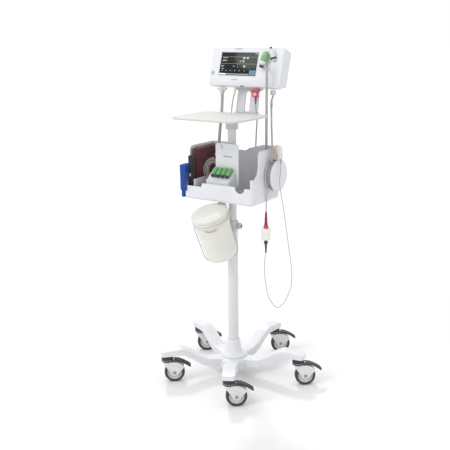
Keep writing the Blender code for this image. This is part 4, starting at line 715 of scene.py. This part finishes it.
def softened_pad(name, forms, paint, stands_for, cap, voxel=0.0042):
    """A folded cloth piece: its forms joined by a voxel mesh, then swelled by cloth, no point past the cap."""
    scene = bpy.context.scene
    rough = bpy.data.objects.new(name + "_rough", as_mesh(gathered(*forms), name))
    scene.collection.objects.link(rough)
    remesh = rough.modifiers.new("remesh", "REMESH")
    remesh.mode = "VOXEL"
    remesh.voxel_size = voxel
    even = bpy.data.meshes.new_from_object(rough.evaluated_get(bpy.context.evaluated_depsgraph_get()))
    bpy.data.objects.remove(rough, do_unlink=True)
    pad = bpy.data.objects.new(name, even)
    scene.collection.objects.link(pad)
    cloth = pad.modifiers.new("cloth", "CLOTH")
    cloth.settings.use_pressure = True
    cloth.settings.uniform_pressure_force = CLOTH_PRESSURE
    cloth.settings.effector_weights.gravity = 0
    cloth.settings.quality = CLOTH_QUALITY
    for step in range(1, CLOTH_FRAMES + 1):
        scene.frame_set(step)
    swelled = pad.evaluated_get(bpy.context.evaluated_depsgraph_get()).data
    places = [vertex.co.copy() for vertex in swelled.vertices]
    pad.modifiers.remove(cloth)
    for vertex, place in zip(pad.data.vertices, places):
        step = place - vertex.co
        if step.length > cap:
            step *= cap / step.length
        vertex.co += step
    scene.frame_set(1)
    mesh = pad.data
    mesh.shade_smooth()
    mesh.materials.clear()
    mesh.materials.append(paint)
    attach(pad, "mast")
    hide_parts(stands_for)
    fine = pad.modifiers.new("fine", "SUBSURF")
    fine.levels = fine.render_levels = 1


STITCH, STITCH_GAP, THREAD_RADIUS = 0.0034, 0.0016, 0.0005


def stitched(name, *spots):
    """A row of short stitches along a line, thinning out at their ends."""
    fine = curve_points([Vector(spot) for spot in spots], 0.0004)
    rows, walked, start = [], 0.0, 0
    for index in range(1, len(fine)):
        walked += (fine[index] - fine[index - 1]).length
        if walked >= STITCH:
            rows.append(tube(fine[start:index + 1],
                             lambda share: THREAD_RADIUS * math.sin(math.pi * (0.12 + 0.76 * share)), 8))
            walked = -STITCH_GAP
            start = index
        if walked <= 0:
            start = index
    piece(name, gathered(*rows), THREAD, "mast")


def build_maroon_cuff():
    """Three folded leaves standing side by side, with a fold across their foot and a pale lining."""
    low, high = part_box("cuff_maroon")
    middle = (low + high) / 2
    width = (high.x - low.x) / 3
    depth, height = high.y - low.y, high.z - low.z
    leaves = []
    for index, (shorter, back) in enumerate(((0.0, 0.004), (0.006, 0.0), (0.002, 0.006))):
        x = low.x - 0.0012 + width * (index + 0.5)
        leaves.append(slab((width * 0.94, depth - 0.001 - back, height - 0.003 - shorter),
                           (x, middle.y + back / 2, middle.z - shorter / 2), width * 0.34, 3))
    fold = slab((high.x - low.x - 0.005, depth * 0.3, 0.016), (middle.x, low.y + depth * 0.2, low.z + 0.012),
                0.006, 3)
    softened_pad("maroon_cuff", [*leaves, fold], MAROON, "cuff_maroon", cap=0.0024)
    lining = slab((0.0024, depth - 0.016, 0.03), (low.x + 0.0035, middle.y, high.z - 0.012), 0.0011, 2)
    piece("maroon_lining", lining, PALE_CLOTH, "mast")
    front = low.y + 0.0028
    for index in range(3):
        x = low.x + width * (index + 0.5)
        stitched(f"maroon_seam_{index + 1}", (x, front, high.z - 0.016), (x, front - 0.0002, middle.z),
                 (x, front + 0.0002, low.z + 0.016))
    edge = high.x - 0.0012
    stitched("maroon_side_seam", (edge, low.y + 0.014, high.z - 0.013), (edge, middle.y, high.z - 0.012),
             (edge, high.y - 0.014, high.z - 0.013))


def build_black_cuff():
    """A rolled cuff between the maroon one and the wall, with a pale tag."""
    low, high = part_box("cuff_black")
    middle = (low + high) / 2
    size = high - low
    quarter = size.x * 0.25
    roll = [slab((size.x * 0.5, size.y - 0.001, size.z - 0.003), (low.x + quarter, middle.y, middle.z),
                 0.004), slab((size.x * 0.48, size.y - 0.003, size.z - 0.01),
                              (high.x - quarter, middle.y, middle.z - 0.004), 0.004)]
    softened_pad("black_cuff", roll, BLACK_CLOTH, "cuff_black", cap=0.0018, voxel=0.0028)
    tag = slab((0.0078, 0.001, 0.011), (middle.x - 0.001, low.y - 0.0004, middle.z + 0.004), 0.0004, 2)
    piece("black_cuff_tag", tag, PALE_CLOTH, "mast")


def build_blue_cuff():
    """A cuff hung over the basket's left wall: a leg on either side, a flap in front and a pale hem."""
    low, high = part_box("cuff_blue")
    middle = (low + high) / 2
    outer = slab((0.0136, 0.037, high.z - low.z - 0.004), (low.x + 0.0072, low.y + 0.0192, middle.z), 0.0046,
                 3)
    bridge = slab((0.024, 0.018, 0.015), (low.x + 0.0172, low.y + 0.0105, high.z - 0.0095), 0.004, 3)
    inner = slab((0.011, 0.0094, 0.06), (low.x + 0.0237, low.y + 0.0086, high.z - 0.032), 0.0032, 2)
    flap = slab((0.027, 0.0066, 0.094), (low.x + 0.016, low.y - 0.0045, high.z - 0.049), 0.0029, 3)
    softened_pad("blue_cuff", [outer, bridge, inner, flap], BLUE_CLOTH, "cuff_blue", cap=0.0012,
                 voxel=0.0025)
    bands = [slab((0.005, 0.0008, height), (low.x + x, low.y + 0.0008, z), 0.0003, 1)
             for x, z, height in ((0.0055, middle.z + 0.012, 0.022), (0.006, middle.z - 0.018, 0.014))]
    piece("blue_cuff_mark", gathered(*bands), PALE_CLOTH, "mast")
    hem = slab((0.0118, 0.0226, 0.015), (low.x + 0.0072, low.y + 0.013, low.z + 0.011), 0.0045, 3)
    piece("blue_cuff_hem", hem, HEM_CLOTH, "mast")


def build_coil():
    """The cuff's spare tubing: flat turns side by side, tied once, starting where the hose comes down."""
    low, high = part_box("cuff_tube")
    turns, steps, thick, pitch = 4, 40, 0.0038, 0.0056
    place = Matrix.Translation((low + high) / 2) @ Matrix.Rotation(TURNED_OUT, 4, "Z")
    path = []
    for index in range(turns * steps + 1):
        angle = math.pi / 2 + 2 * math.pi * index / steps
        lap = index / steps
        wide = 0.0385 - pitch * lap + 0.0006 * math.sin(lap * 4.1)
        tall = 0.0455 - pitch * lap + 0.0006 * math.sin(lap * 5.3)
        across = 0.0018 * math.sin(lap * 2.3)
        path.append(place @ Vector((-0.0045 + wide * math.cos(angle), across, tall * math.sin(angle))))
    coil = piece("tube_coil", tube(path, thick / 2, 12), COIL_HOSE, "mast", stands_for=("cuff_tube",))
    tie = [place @ Vector((0.018 + 0.0125 * math.cos(a), 0.0052 * math.sin(a), -0.002))
           for a in round_points(32)]
    piece("coil_tie", tube(tie, 0.0011, 8, closed=True), BLACK_PLASTIC, "mast")


def build_reel():
    """The reel on the basket's right wall: a spool turned about X, its tab, and two layers of wound cable."""
    near, outer = 0.147, 0.172
    spool = eased([(0.0, 0.1438), (0.015, 0.1438), (0.015, near), (0.0545, near), (0.056, near + 0.001),
                   (0.056, 0.1494), (0.0552, 0.15), (0.03, 0.15), (0.03, 0.1685), (0.0552, 0.1685),
                   (0.056, 0.1691), (0.056, 0.1708), (0.0548, 0.1722), (0.052, 0.1724),
                   (0.0508, outer - 0.001), (0.015, outer - 0.001), (0.014, outer + 0.0004),
                   (0.0126, outer + 0.0006), (0.0118, outer - 0.0008), (0.0, outer - 0.0008)], 0.0006)
    tab = slab((0.0034, 0.012, 0.022), (0.17025, -0.007, 0.0595), 0.0008, 2)
    body = moved(turned(spool, 120), ALONG_X)
    place = Matrix.Translation(at(*REEL_CENTRE))
    piece("reel_drum", gathered(body, tab), CASE_WHITE, "mast", place, ("cable_reel",))
    cable, turns, steps, first, width = 0.0034, 5, 64, 0.1522, 0.0141
    wound = []
    for layer, radius in enumerate((0.052, 0.049)):
        for index in range(turns * steps + 1):
            angle = 2 * math.pi * index / steps
            share = index / (turns * steps)
            across = first + width * (share if layer == 0 else 1 - share)
            lift = 0.0004 * math.sin(angle * 3 + layer)
            wound.append(Vector((across, (radius + lift) * math.cos(angle),
                                 (radius + lift) * math.sin(angle))))
    piece("reel_turns", tube(wound, cable / 2, 10), REEL_CABLE, "mast", place, ("reel_winding",))
    core = turned(mm((30.2, 150.6), (47, 150.6), (47, 168), (30.2, 168)), 80, ring=True)
    piece("reel_core", moved(core, ALONG_X), REEL_CABLE, "mast", place)


def build_clip():
    """The finger clip: a pale jaw on a beige one, with a pad, a light, a ribbed grip and the cable's relief."""
    refined("finger_clip_bottom", BEIGE, "mast", 0.0008, 40)
    refined("finger_clip_top", CASE_WHITE, "finger_clip_jaw", 0.0008, 40)
    hinge = Vector(JOINTS["finger_clip_open"]["pos_m"])
    pad = slab((0.005, 0.012, 0.003), hinge + Vector((-0.004, 0, 0.0268)), 0.0008, 2)
    piece("clip_pad", pad, PINK, "mast")
    window = slab((0.0066, 0.001, 0.0012), hinge + Vector((-0.006, -0.0082, 0.015)), 0.0003, 1)
    piece("clip_light", window, LIT_RED, "mast")
    ribs = [slab((0.0014, 0.011, 0.0012), hinge + Vector((0.0146, 0, -0.016 + 0.0035 * k)), 0.0004, 1)
            for k in range(5)]
    piece("clip_grip", gathered(*ribs), GREY_PLASTIC, "finger_clip_jaw")
    relief = tube([hinge + Vector((0.0112, 0, -0.0195 - 0.0165 * k / 20)) for k in range(21)],
                  ringed(0.0021, 0.0032, 5), 28)
    piece("clip_relief", relief, DARK_CABLE, "finger_clip_jaw")


def build_junction():
    """The splitter on the sensor cable: a red boot above, a pale body, a dark relief below."""
    low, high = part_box("cable_junction")
    centre = (low + high) / 2
    place = Matrix.Translation((centre.x, centre.y, 0)) @ Matrix.Rotation(TURNED_OUT, 4, "Z")
    shell = extruded(outline_box(-0.0163, 0.0163, -0.0068, 0.0068, 0.005, 8), 0.5492, 0.5938, rim=0.0026,
                     segments=4)
    piece("junction_body", shell, JUNCTION_SHELL, "mast", place, ("cable_junction",))
    seam = extruded(outline_box(-0.01655, 0.01655, -0.007, 0.007, 0.005, 8), 0.5712, 0.572)
    piece("junction_seam", seam, GREY_PLASTIC, "mast", place)
    boot = eased(mm((0, 592), (6.6, 592), (6.4, 602), (5.6, 610), (4.8, 622), (4.2, 635), (3.6, 648),
                    (3.2, 651), (0, 651)), 0.0008)
    piece("junction_boot", turned(boot, 56), DARK_RED, "mast", place)
    ring = eased(mm((6, 592.5), (8.8, 592.5), (9, 597), (8, 604), (6, 604.6)), 0.0006)
    piece("junction_ring", turned(ring, 56, ring=True), RED, "mast", place)
    relief = eased(mm((0, 503), (2.4, 503), (2.8, 508), (3.4, 520), (4.2, 534), (6.4, 537), (7, 541),
                      (6.4, 545), (5, 547), (6.2, 550), (0, 550)), 0.0006)
    piece("junction_relief", turned(relief, 56), BLACK_PLASTIC, "mast", place)


build_basket()
build_spare_probes()
build_maroon_cuff()
build_black_cuff()
build_blue_cuff()
build_coil()
build_reel()
build_clip()
build_junction()


# ---- head: upper tube, tray, bracket, yoke ----
def build_head():
    low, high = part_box("upper_pole")
    upper = eased([(0.0132, low.z), (0.015, low.z), (0.015, high.z), (0.0132, high.z)], 0.0005)
    piece("upper_tube", turned(upper, 96, ring=True), COLUMN_GREY, "mast", COLUMN_AXIS, ("upper_pole",))
    low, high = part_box("tray")
    plate = extruded(outline_box(low.x, high.x, low.y, high.y, 0.035, 16), low.z, high.z, rim=0.0016,
                     segments=4)
    piece("tray_plate", plate, TRAY_GREY, "mast", stands_for=("tray",))
    skirt = extruded(outline_box(low.x + 0.0022, high.x - 0.0022, low.y + 0.0022, high.y - 0.0022, 0.033, 16),
                     low.z - 0.0016, low.z + 0.001)
    piece("tray_underside", skirt, GREY_PLASTIC, "mast")
    refined("pole_head", HEAD_GREY, "mast", 0.0012, 36)
    refined("yoke", HEAD_GREY, "mast", 0.0012, 36)
    upside_down, bracket_z = Matrix.Rotation(math.pi, 4, "X"), 0.9663
    screws = []
    for x, y in ((-0.038, 0.1), (0.038, 0.1), (-0.024, -0.04), (0.024, -0.04)):
        head = turned(eased(mm((0, 0), (3.8, 0), (3.4, 1.4), (1.2, 1.8), (0, 0.8)), 0.0003), 28)
        screws.append(moved(head, Matrix.Translation(at(x, y, bracket_z)) @ upside_down))
    piece("bracket_screws", gathered(*screws), WIRE, "mast")


build_head()


# ---- monitor ----
def face(u, v, depth=0.0):
    """A place given from the screen's centre: right, up, and depth behind the face."""
    return SCREEN + Vector((u, depth, v))


def panel(u, v, width, height, depth, thick=0.0004, radius=0.0):
    """A flat tile on the face, seen from the front."""
    if not radius:
        form = bmesh.new()
        bmesh.ops.create_cube(form, size=1.0)
        bmesh.ops.scale(form, vec=(width, thick, height), verts=form.verts)
        bmesh.ops.translate(form, vec=face(u, v, depth), verts=form.verts)
        return form
    spot = face(u, v, depth)
    outline = outline_box(spot.x - width / 2, spot.x + width / 2, spot.z - height / 2, spot.z + height / 2,
                          radius, 5)
    return extruded(outline, spot.y - thick / 2, spot.y + thick / 2, axis="Y")


SEGMENTS = {"0": "abcdef", "1": "bc", "2": "abged", "3": "abgcd", "6": "afgedc", "7": "abc", "8": "abcdefg",
            "9": "abcfgd"}


def numeral(text, u, v, height, depth):
    """Plain seven-bar figures, as forms."""
    width, line = height * 0.52, height * 0.16
    bars = {"a": (0, 0.5, 1, 0), "g": (0, 0, 1, 0), "d": (0, -0.5, 1, 0), "f": (-0.5, 0.25, 0, 1),
            "b": (0.5, 0.25, 0, 1), "e": (-0.5, -0.25, 0, 1), "c": (0.5, -0.25, 0, 1)}
    forms = []
    for place, figure in enumerate(text):
        start = u + place * width * 1.5
        for bar in SEGMENTS[figure]:
            x, z, flat, upright = bars[bar]
            wide, tall = width + line if flat else line, height / 2 + line if upright else line
            forms.append(panel(start + x * width, v + z * height, wide, tall, depth))
    return forms


def build_screen():
    """The glass, what it shows (plain lines, tiles and figures), and the groove round it."""
    front = 0.0008
    width, height = SCREEN_SIZE
    glass = slab((width, 0.005, height), face(0, 0, front + 0.0025), 0.0007)
    piece("screen_glass", glass, GLASS, "monitor", MONITOR, ("display_panel",))
    show = front - 0.0002
    left, top = -width / 2, height / 2

    def across(share, down, wide, tall, radius=0.0):
        """A tile whose left end and middle height are shares of the screen."""
        return panel(left + width * share + wide / 2, top - height * down, wide, tall, show, radius=radius)

    def figures(text, share, down, tall):
        return numeral(text, left + width * share, top - height * down, tall, show)

    rows = {
        "screen_lines": (LIT_GREY, [
            across(0.02, 0.19, width * 0.96, 0.0009), across(0.02, 0.49, width * 0.96, 0.0009),
            across(0.18, 0.945, width * 0.63, 0.004), across(0.48, 0.6, 0.0008, 0.012)]),
        "screen_tab": (LIT_WHITE, [across(0.0, 0.945, width * 0.18, 0.0044)]),
        "screen_block": (LIT_TEAL, [across(0.82, 0.87, width * 0.17, height * 0.22, 0.001)]),
        "screen_large": (LIT_WHITE, [
            *figures("120", 0.6, 0.235, 0.0048), *figures("80", 0.72, 0.235, 0.0048),
            *figures("72", 0.645, 0.6, 0.0058), across(0.92, 0.05, 0.008, 0.0014)]),
        "screen_green": (LIT_GREEN, [*figures("98", 0.6, 0.37, 0.0066), across(0.52, 0.385, 0.006, 0.003)]),
        "screen_yellow": (LIT_YELLOW, [
            *figures("368", 0.06, 0.355, 0.005), across(0.05, 0.235, 0.02, 0.0018),
            across(0.13, 0.355, 0.006, 0.0022)]),
        "screen_blue": (LIT_BLUE, [
            across(share, down, wide, 0.0018) for share, down, wide in (
                (0.03, 0.58, 0.012), (0.03, 0.63, 0.008), (0.05, 0.71, 0.01), (0.35, 0.6, 0.008))]),
        "screen_icons": (LIT_GREY, [
            across(share, 0.79, 0.0036, 0.0036, 0.0008) for share in (0.06, 0.17, 0.29, 0.41, 0.53, 0.67)]),
    }
    for name, (paint, tiles) in rows.items():
        piece(name, gathered(*tiles), paint, "monitor", MONITOR)
    groove = face(0, 0, -0.00015)
    half_width, half_height = width / 2 + 0.0026, height / 2 + 0.0026
    outer = outline_box(groove.x - half_width, groove.x + half_width, groove.z - half_height,
                        groove.z + half_height, 0.003, 6)
    loop = [Vector((x, groove.y, z)) for x, z in outer]
    piece("screen_groove", tube(loop, 0.00035, 8, closed=True), GREY_PLASTIC, "monitor", MONITOR)


def build_monitor():
    """The housing with its marks, power button, rating plate and screws."""
    refined("front_bezel", CASE_WHITE, "monitor", 0.0008, 38)
    refined("rear_housing", CASE_WHITE, "monitor", 0.001, 38)
    build_screen()
    marks = [panel(u, 0.0535, width, 0.003, -0.0003, 0.0004, 0.0008)
             for u, width in ((-0.02, 0.0042), (-0.013, 0.006), (-0.0045, 0.006), (0.004, 0.006))]
    piece("front_mark", gathered(*marks), GREY_MARK, "monitor", MONITOR)
    lights = [panel(-0.016 + 0.0085 * k, -0.056, 0.0046, 0.0036, -0.0003, 0.0004, 0.001) for k in range(3)]
    piece("status_marks", gathered(*lights), BLUE_MARK, "monitor", MONITOR)
    # A flat black tile on the face: painted shade standing in for the dark inside of the speaker slot
    slot = panel(0.029, -0.0785, 0.015, 0.003, -0.0004, 0.0006, 0.0012)
    piece("speaker_slot_shade", slot, BLACK_PLASTIC, "monitor", MONITOR)
    button = eased(mm((0, -1.2), (4, -1.1), (5.2, -0.5), (5.8, 0.6), (5.8, 3.3), (7.3, 3.3), (7.3, 5.3),
                      (0, 5.3)), 0.0004)
    backward = Matrix.Rotation(-math.pi / 2, 4, "X")
    button_u, button_v = -0.103, -0.034
    button_place = MONITOR @ Matrix.Translation(face(button_u, button_v))
    piece("button_cap", turned(button, 48), BUTTON_BLUE, "power_button", button_place @ backward,
          ("power_button",))
    arc = [Vector((0.0026 * math.sin(a), -0.00135, 0.0026 * math.cos(a)))
           for a in (math.radians(35 + 290 * k / 24) for k in range(25))]
    stem = [Vector((0, -0.00135, z)) for z in (0.0006, 0.0018, 0.0032)]
    piece("button_mark", gathered(tube(arc, 0.0004, 8), tube(stem, 0.0004, 8)), BLUE_MARK, "power_button",
          button_place)
    ring = [face(button_u + 0.007 * math.cos(a), button_v + 0.007 * math.sin(a), -0.0002)
            for a in round_points(40)]
    piece("button_ring", tube(ring, 0.0005, 8, closed=True), GREY_PLASTIC, "monitor", MONITOR)
    for node, paint in (("main_board", BOARD), ("battery_pack", CELL)):
        for socket in frame["nodes"][node].material_slots:
            socket.material = paint
    plate = slab((0.06, 0.001, 0.026), face(-0.05, 0.025, HOUSING_DEPTH + 0.0002), 0.0004, 2)
    piece("rating_plate", plate, HUB_GREY, "monitor", MONITOR)
    screws = []
    for u in (-0.1, 0.16):
        for v in (-0.05, 0.048):
            head = turned(eased(mm((0, 0), (3.2, 0), (2.8, 0.9), (1, 1.1), (0, 0.4)), 0.0003), 28)
            screws.append(moved(head, Matrix.Translation(face(u, v, HOUSING_DEPTH - 0.0002)) @ backward))
    piece("housing_screws", gathered(*screws), GREY_PLASTIC, "monitor", MONITOR)


def build_face_probes():
    """The thermometer probe in its well, and the green probe in its ring on the face."""
    tip, seat = face(0.1325, 0.057, -0.02), face(0.141, 0.0267, -0.008)
    way, length = (seat - tip).normalized(), (seat - tip).length
    place = MONITOR @ pointing(way, tip)
    handle = eased([(0.0041, 0.0062), (0.0048, 0.009), (0.0056, 0.012), (0.0068, 0.018),
                    (0.008, length - 0.014), (0.0086, length - 0.01), (0.0086, length - 0.0083),
                    (0.0057, length - 0.0083), (0.0057, length + 0.012), (0.004, length + 0.016),
                    (0, length + 0.016)], 0.0006)
    piece("probe_handle", turned([(0, 0.0062), *handle], 56), CASE_WHITE, "probe", place, ("probe",))
    tip_form = eased(mm((0, 0), (3.4, 0.4), (4.3, 3.6), (4.1, 7), (0, 7.2)), 0.0008)
    piece("probe_tip", turned(tip_form, 40), DARK_TIP, "probe", place)
    band = eased([(0.0088, length + 0.002), (0.0096, length + 0.0026), (0.0097, length + 0.009),
                  (0.0088, length + 0.0098)], 0.0004)
    piece("probe_band", turned(band, 56, ring=True), DARK_TIP, "monitor", place)

    top, end = face(0.117, 0.04, -0.0145), face(0.1035, -0.0145, -0.0145)
    way, length = (end - top).normalized(), (end - top).length
    place = MONITOR @ pointing(way, top)
    head = eased(mm((0, -3), (5, -2.4), (8.6, 1), (10.8, 6), (11.7, 14), (11.5, 24), (10.8, 33), (9.8, 40),
                    (8.6, 43.2), (0, 43.4)), 0.001)
    piece("green_head", turned(head, 64), GREEN, "green_probe", place, ("green_probe",))
    shaft = eased(mm((0, 42.8), (8.4, 43), (8, 48.2), (0, 48.4)), 0.0004)
    piece("green_shaft", turned(shaft, 56), HUB_GREY, "green_probe", place)
    nose = eased([(0, 0.0478), (0.0078, 0.048), (0.0078, length - 0.0015), (0.0062, length), (0, length)],
                 0.0008)
    piece("green_nose", turned(nose, 56), DARK_TIP, "green_probe", place)


def build_plugs():
    """Plugs below the face, upright in the rest pose."""
    spot = at(0.044, PLUG_Y, 0)
    flange = extruded(outline_box(-0.0163, 0.0163, -0.0088, 0.0088, 0.005, 8), 1.0502, 1.0585, rim=0.0016)
    body = extruded(outline_box(-0.0123, 0.0123, -0.0073, 0.0073, 0.0042, 8), 1.0332, 1.051, rim=0.0014)
    place = Matrix.Translation(spot)
    piece("oximeter_flange", flange, RED, "monitor", place, ("spo2_plug",))
    piece("oximeter_body", body, RED, "monitor", place)
    inlay = [slab((0.013, 0.001, 0.01), (0.001, -0.0076, 1.0425), 0.0004, 2),
             slab((0.001, 0.008, 0.01), (0.0126, 0, 1.0425), 0.0004, 2)]
    piece("oximeter_inlay", gathered(*inlay), PINK, "monitor", place)
    ribs = [extruded(outline_box(-0.0128, 0.0128, -0.0078, 0.0078, 0.0044, 8), z, z + 0.0012, rim=0.0005)
            for z in (1.0345, 1.0372, 1.0399, 1.0458)]
    piece("oximeter_ribs", gathered(*ribs), RED, "monitor", place)
    relief = tube([spot + Vector((0, 0, 1.0345 - 0.0262 * k / 30)) for k in range(31)],
                  ringed(0.0027, 0.0043, 7), 28)
    piece("oximeter_relief", relief, DARK_CABLE, "monitor")

    spot = at(-0.097, PLUG_Y, 0)
    collar = eased(mm((0, 1036.2), (6.2, 1036.2), (6.6, 1038.5), (9.8, 1045.5), (10, 1048), (9.4, 1048.6),
                      (9.4, 1049.4), (10, 1050), (10, 1060), (0, 1060)), 0.0006)
    wing = slab((0.0376, 0.0116, 0.0085), (0, 0, 1.0555), 0.0024, 3)
    piece("pressure_coupler", gathered(turned(collar, 64), wing), GREY_PLASTIC, "monitor",
          Matrix.Translation(spot), ("nibp_plug",))

    spot = at(0.115, PLUG_Y, 0)
    socket = extruded(outline_box(-0.0093, 0.0093, -0.0068, 0.0068, 0.0032, 8), 1.0432, 1.059, rim=0.001)
    grooves = [extruded(outline_box(-0.0096, 0.0096, -0.0071, 0.0071, 0.0034, 8), z, z + 0.0009, rim=0.0003)
               for z in (1.0455, 1.0478, 1.0501)]
    piece("aux_socket", gathered(socket, *grooves), GREY_PLASTIC, "monitor", Matrix.Translation(spot),
          ("aux_plug",))


build_monitor()
build_face_probes()
build_plugs()


# ---- bin ----
def build_bin():
    """The bin and its lid, turned about the bin's own leaning axis."""
    foot, top, height = 0.056, 0.0615, BIN_HEIGHT
    outside = [(0, 0), (foot - 0.014, 0), (foot - 0.008, 0.0016), (foot - 0.003, 0.005),
               (foot - 0.0008, 0.01), (foot, 0.015), (foot + 0.0035, 0.11), (top - 0.001, height - 0.026),
               (top + 0.0006, height - 0.0255), (top + 0.0006, height - 0.0235),
               (top - 0.0008, height - 0.023), (top - 0.0006, height - 0.014),
               (top + 0.0008, height - 0.0135), (top + 0.0008, height - 0.0115),
               (top - 0.0004, height - 0.011), (top, height - 0.002), (top, height)]
    inside = [(top - 0.0025, height), (foot - 0.0025, 0.015), (foot - 0.01, 0.0055), (foot - 0.016, 0.003),
              (0, 0.003)]
    piece("bin_shell", turned(eased(outside + inside, 0.0008), 112), BIN_WHITE, "mast", BIN, ("bin_body",))
    # A raised arc in the darker slot colour under the lid's front: painted shadow of the lid's latch and gap
    arc = []
    for degrees in range(-70, -29, 4):
        angle = math.radians(degrees)
        drop = 0.0045 * math.sin(math.radians((degrees + 70) / 40 * 180))
        arc.append(Vector(((top + 0.0002) * math.cos(angle), (top + 0.0002) * math.sin(angle),
                           height - 0.03 - drop)))
    piece("bin_latch_shadow", tube(arc, 0.0014, 12), BIN_SLOT_SHADOW, "mast", BIN)
    low, rim = height + 0.0006, 0.0655
    lid = eased([(0, low + 0.0115), (0.052, low + 0.0085), (rim - 0.0025, low + 0.004), (rim - 0.0025, low),
                 (rim, low), (rim, low + 0.002), (rim - 0.0008, low + 0.0026), (rim, low + 0.0034),
                 (rim, low + 0.0048), (rim - 0.002, low + 0.0082), (0.056, low + 0.0108),
                 (0.0545, low + 0.01), (0.053, low + 0.0112), (0.04, low + 0.0136), (0.0, low + 0.015)],
                0.001)
    ear = slab((0.022, 0.012, 0.006), (0, LID_BACK - 0.005, low + 0.003), 0.001, 2)
    knuckle = moved(turned(eased(mm((2.7, -11), (4.2, -11), (4.2, 11), (2.7, 11)), 0.0004),
                           40, ring=True), LID_HINGE)
    piece("bin_cover", gathered(turned(lid, 112), ear, knuckle), BIN_WHITE, "bin_lid", BIN, ("bin_lid",))
    pull = turned(eased(mm((0, 0.2), (12, 0), (10.5, 1.2), (6, 1.6), (0, 0.8)), 0.0006), 48)
    pull_place = Matrix.Translation((0, -0.044, low + 0.0124)) @ Matrix.Rotation(math.radians(11), 4, "X")
    piece("lid_pull", pull, BIN_WHITE, "bin_lid", BIN @ pull_place)


def build_cradle():
    """The wire cradle: ring, loop under the bin, two hangers with pads, posts and the lid's hinge pin."""
    wire, ring_z = 0.0013, BIN_HEIGHT - 0.018
    facing = Matrix.Rotation(math.radians(44.0), 4, "Z")       # the loop stands across the view
    ring = [tube([BIN @ Vector((RING_RADIUS * math.cos(a), RING_RADIUS * math.sin(a), ring_z))
                  for a in round_points(96)], 0.0021, 14, closed=True)]
    half = ((-RING_RADIUS - 0.0005, 0, ring_z), (-0.065, 0, 0.1), (-0.063, 0, 0.05), (-0.0605, -0.002, 0.012),
            (-0.05, -0.006, -0.0055), (-0.025, -0.012, -0.006))
    spots = [*half, (0, -0.014, -0.006), *[(-x, y, z) for x, y, z in reversed(half)]]
    forms = [tube(curve_points([BIN @ facing @ Vector(spot) for spot in spots], 0.006), wire, 14)]
    basket_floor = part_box("basket")[0].z
    for side in (-1, 1):
        reach = 0.0255 * side
        start = BIN @ Vector((reach, math.sqrt(RING_RADIUS ** 2 - reach ** 2), ring_z))
        end = Vector((start.x, COLUMN.y - 0.056, basket_floor - 0.003))
        low = Vector((end.x, end.y, start.z + 0.008))
        hanger = [start, start.lerp(low, 0.6) + Vector((0, 0.001, 0)), low, (low + end) / 2, end]
        forms.append(tube(curve_points(hanger, 0.004), wire, 14))
        pad = turned(eased(mm((0, -4.8), (7, -4.8), (7.5, -4), (7.5, 0), (0, 0)), 0.0005), 40)
        ring.append(moved(pad, Matrix.Translation((end.x, end.y, basket_floor - 0.0003))))
        post = slab((0.005, 0.0074, 0.0262), (0.0152 * side, 0.0683, BIN_HEIGHT - 0.0063), 0.0008, 2)
        ring.append(moved(post, BIN))
    pin = turned(eased(mm((0, -17.2), (2.2, -17), (2.2, 17), (0, 17.2)), 0.0004), 24)
    forms.append(moved(pin, BIN @ LID_HINGE))
    piece("wire_cradle", gathered(*forms), WIRE, "mast", stands_for=("bin_cradle",))
    piece("cradle_ring", gathered(*ring), BIN_WHITE, "mast", stands_for=("bin_cradle",))


build_bin()
build_cradle()


# ---- studio ----
SUNS = (("key", (-1.2, -2.4, 2.0), 30, 0.9), ("back", (-1.8, 1.6, 2.7), 9, 0.8))    # place, softness, power


def build_studio():
    """A plain pale floor under a white sky, with a soft sun in front and a sharper one behind."""
    floor_paint, tree, shader, where = graph("studio_floor")
    tree.links.new(two_tone(tree, noise(tree, where, 2.0, 3), (0.775, 0.775, 0.78), (0.785, 0.785, 0.785)),
                   shader.inputs["Base Color"])
    shader.inputs["Roughness"].default_value = 0.9
    form = bmesh.new()
    bmesh.ops.create_grid(form, x_segments=2, y_segments=2, size=40)
    floor = bpy.data.objects.new("floor", as_mesh(form, "floor"))
    bpy.context.scene.collection.objects.link(floor)
    floor.data.materials.append(floor_paint)
    world = bpy.data.worlds.new("studio")
    world.use_nodes = True
    world.node_tree.nodes["Background"].inputs["Color"].default_value = (1.0, 1.0, 1.0, 1)
    world.node_tree.nodes["Background"].inputs["Strength"].default_value = 1.0
    bpy.context.scene.world = world
    bpy.context.scene.view_settings.view_transform = "Standard"
    for name, place, softness, power in SUNS:
        lamp = bpy.data.lights.new(name, "SUN")
        lamp.angle = math.radians(softness)
        lamp.energy = power
        made = bpy.data.objects.new(name, lamp)
        bpy.context.scene.collection.objects.link(made)
        made.location = place
        made.rotation_mode = "QUATERNION"
        made.rotation_quaternion = (-Vector(place)).to_track_quat("-Z", "Y")


build_studio()
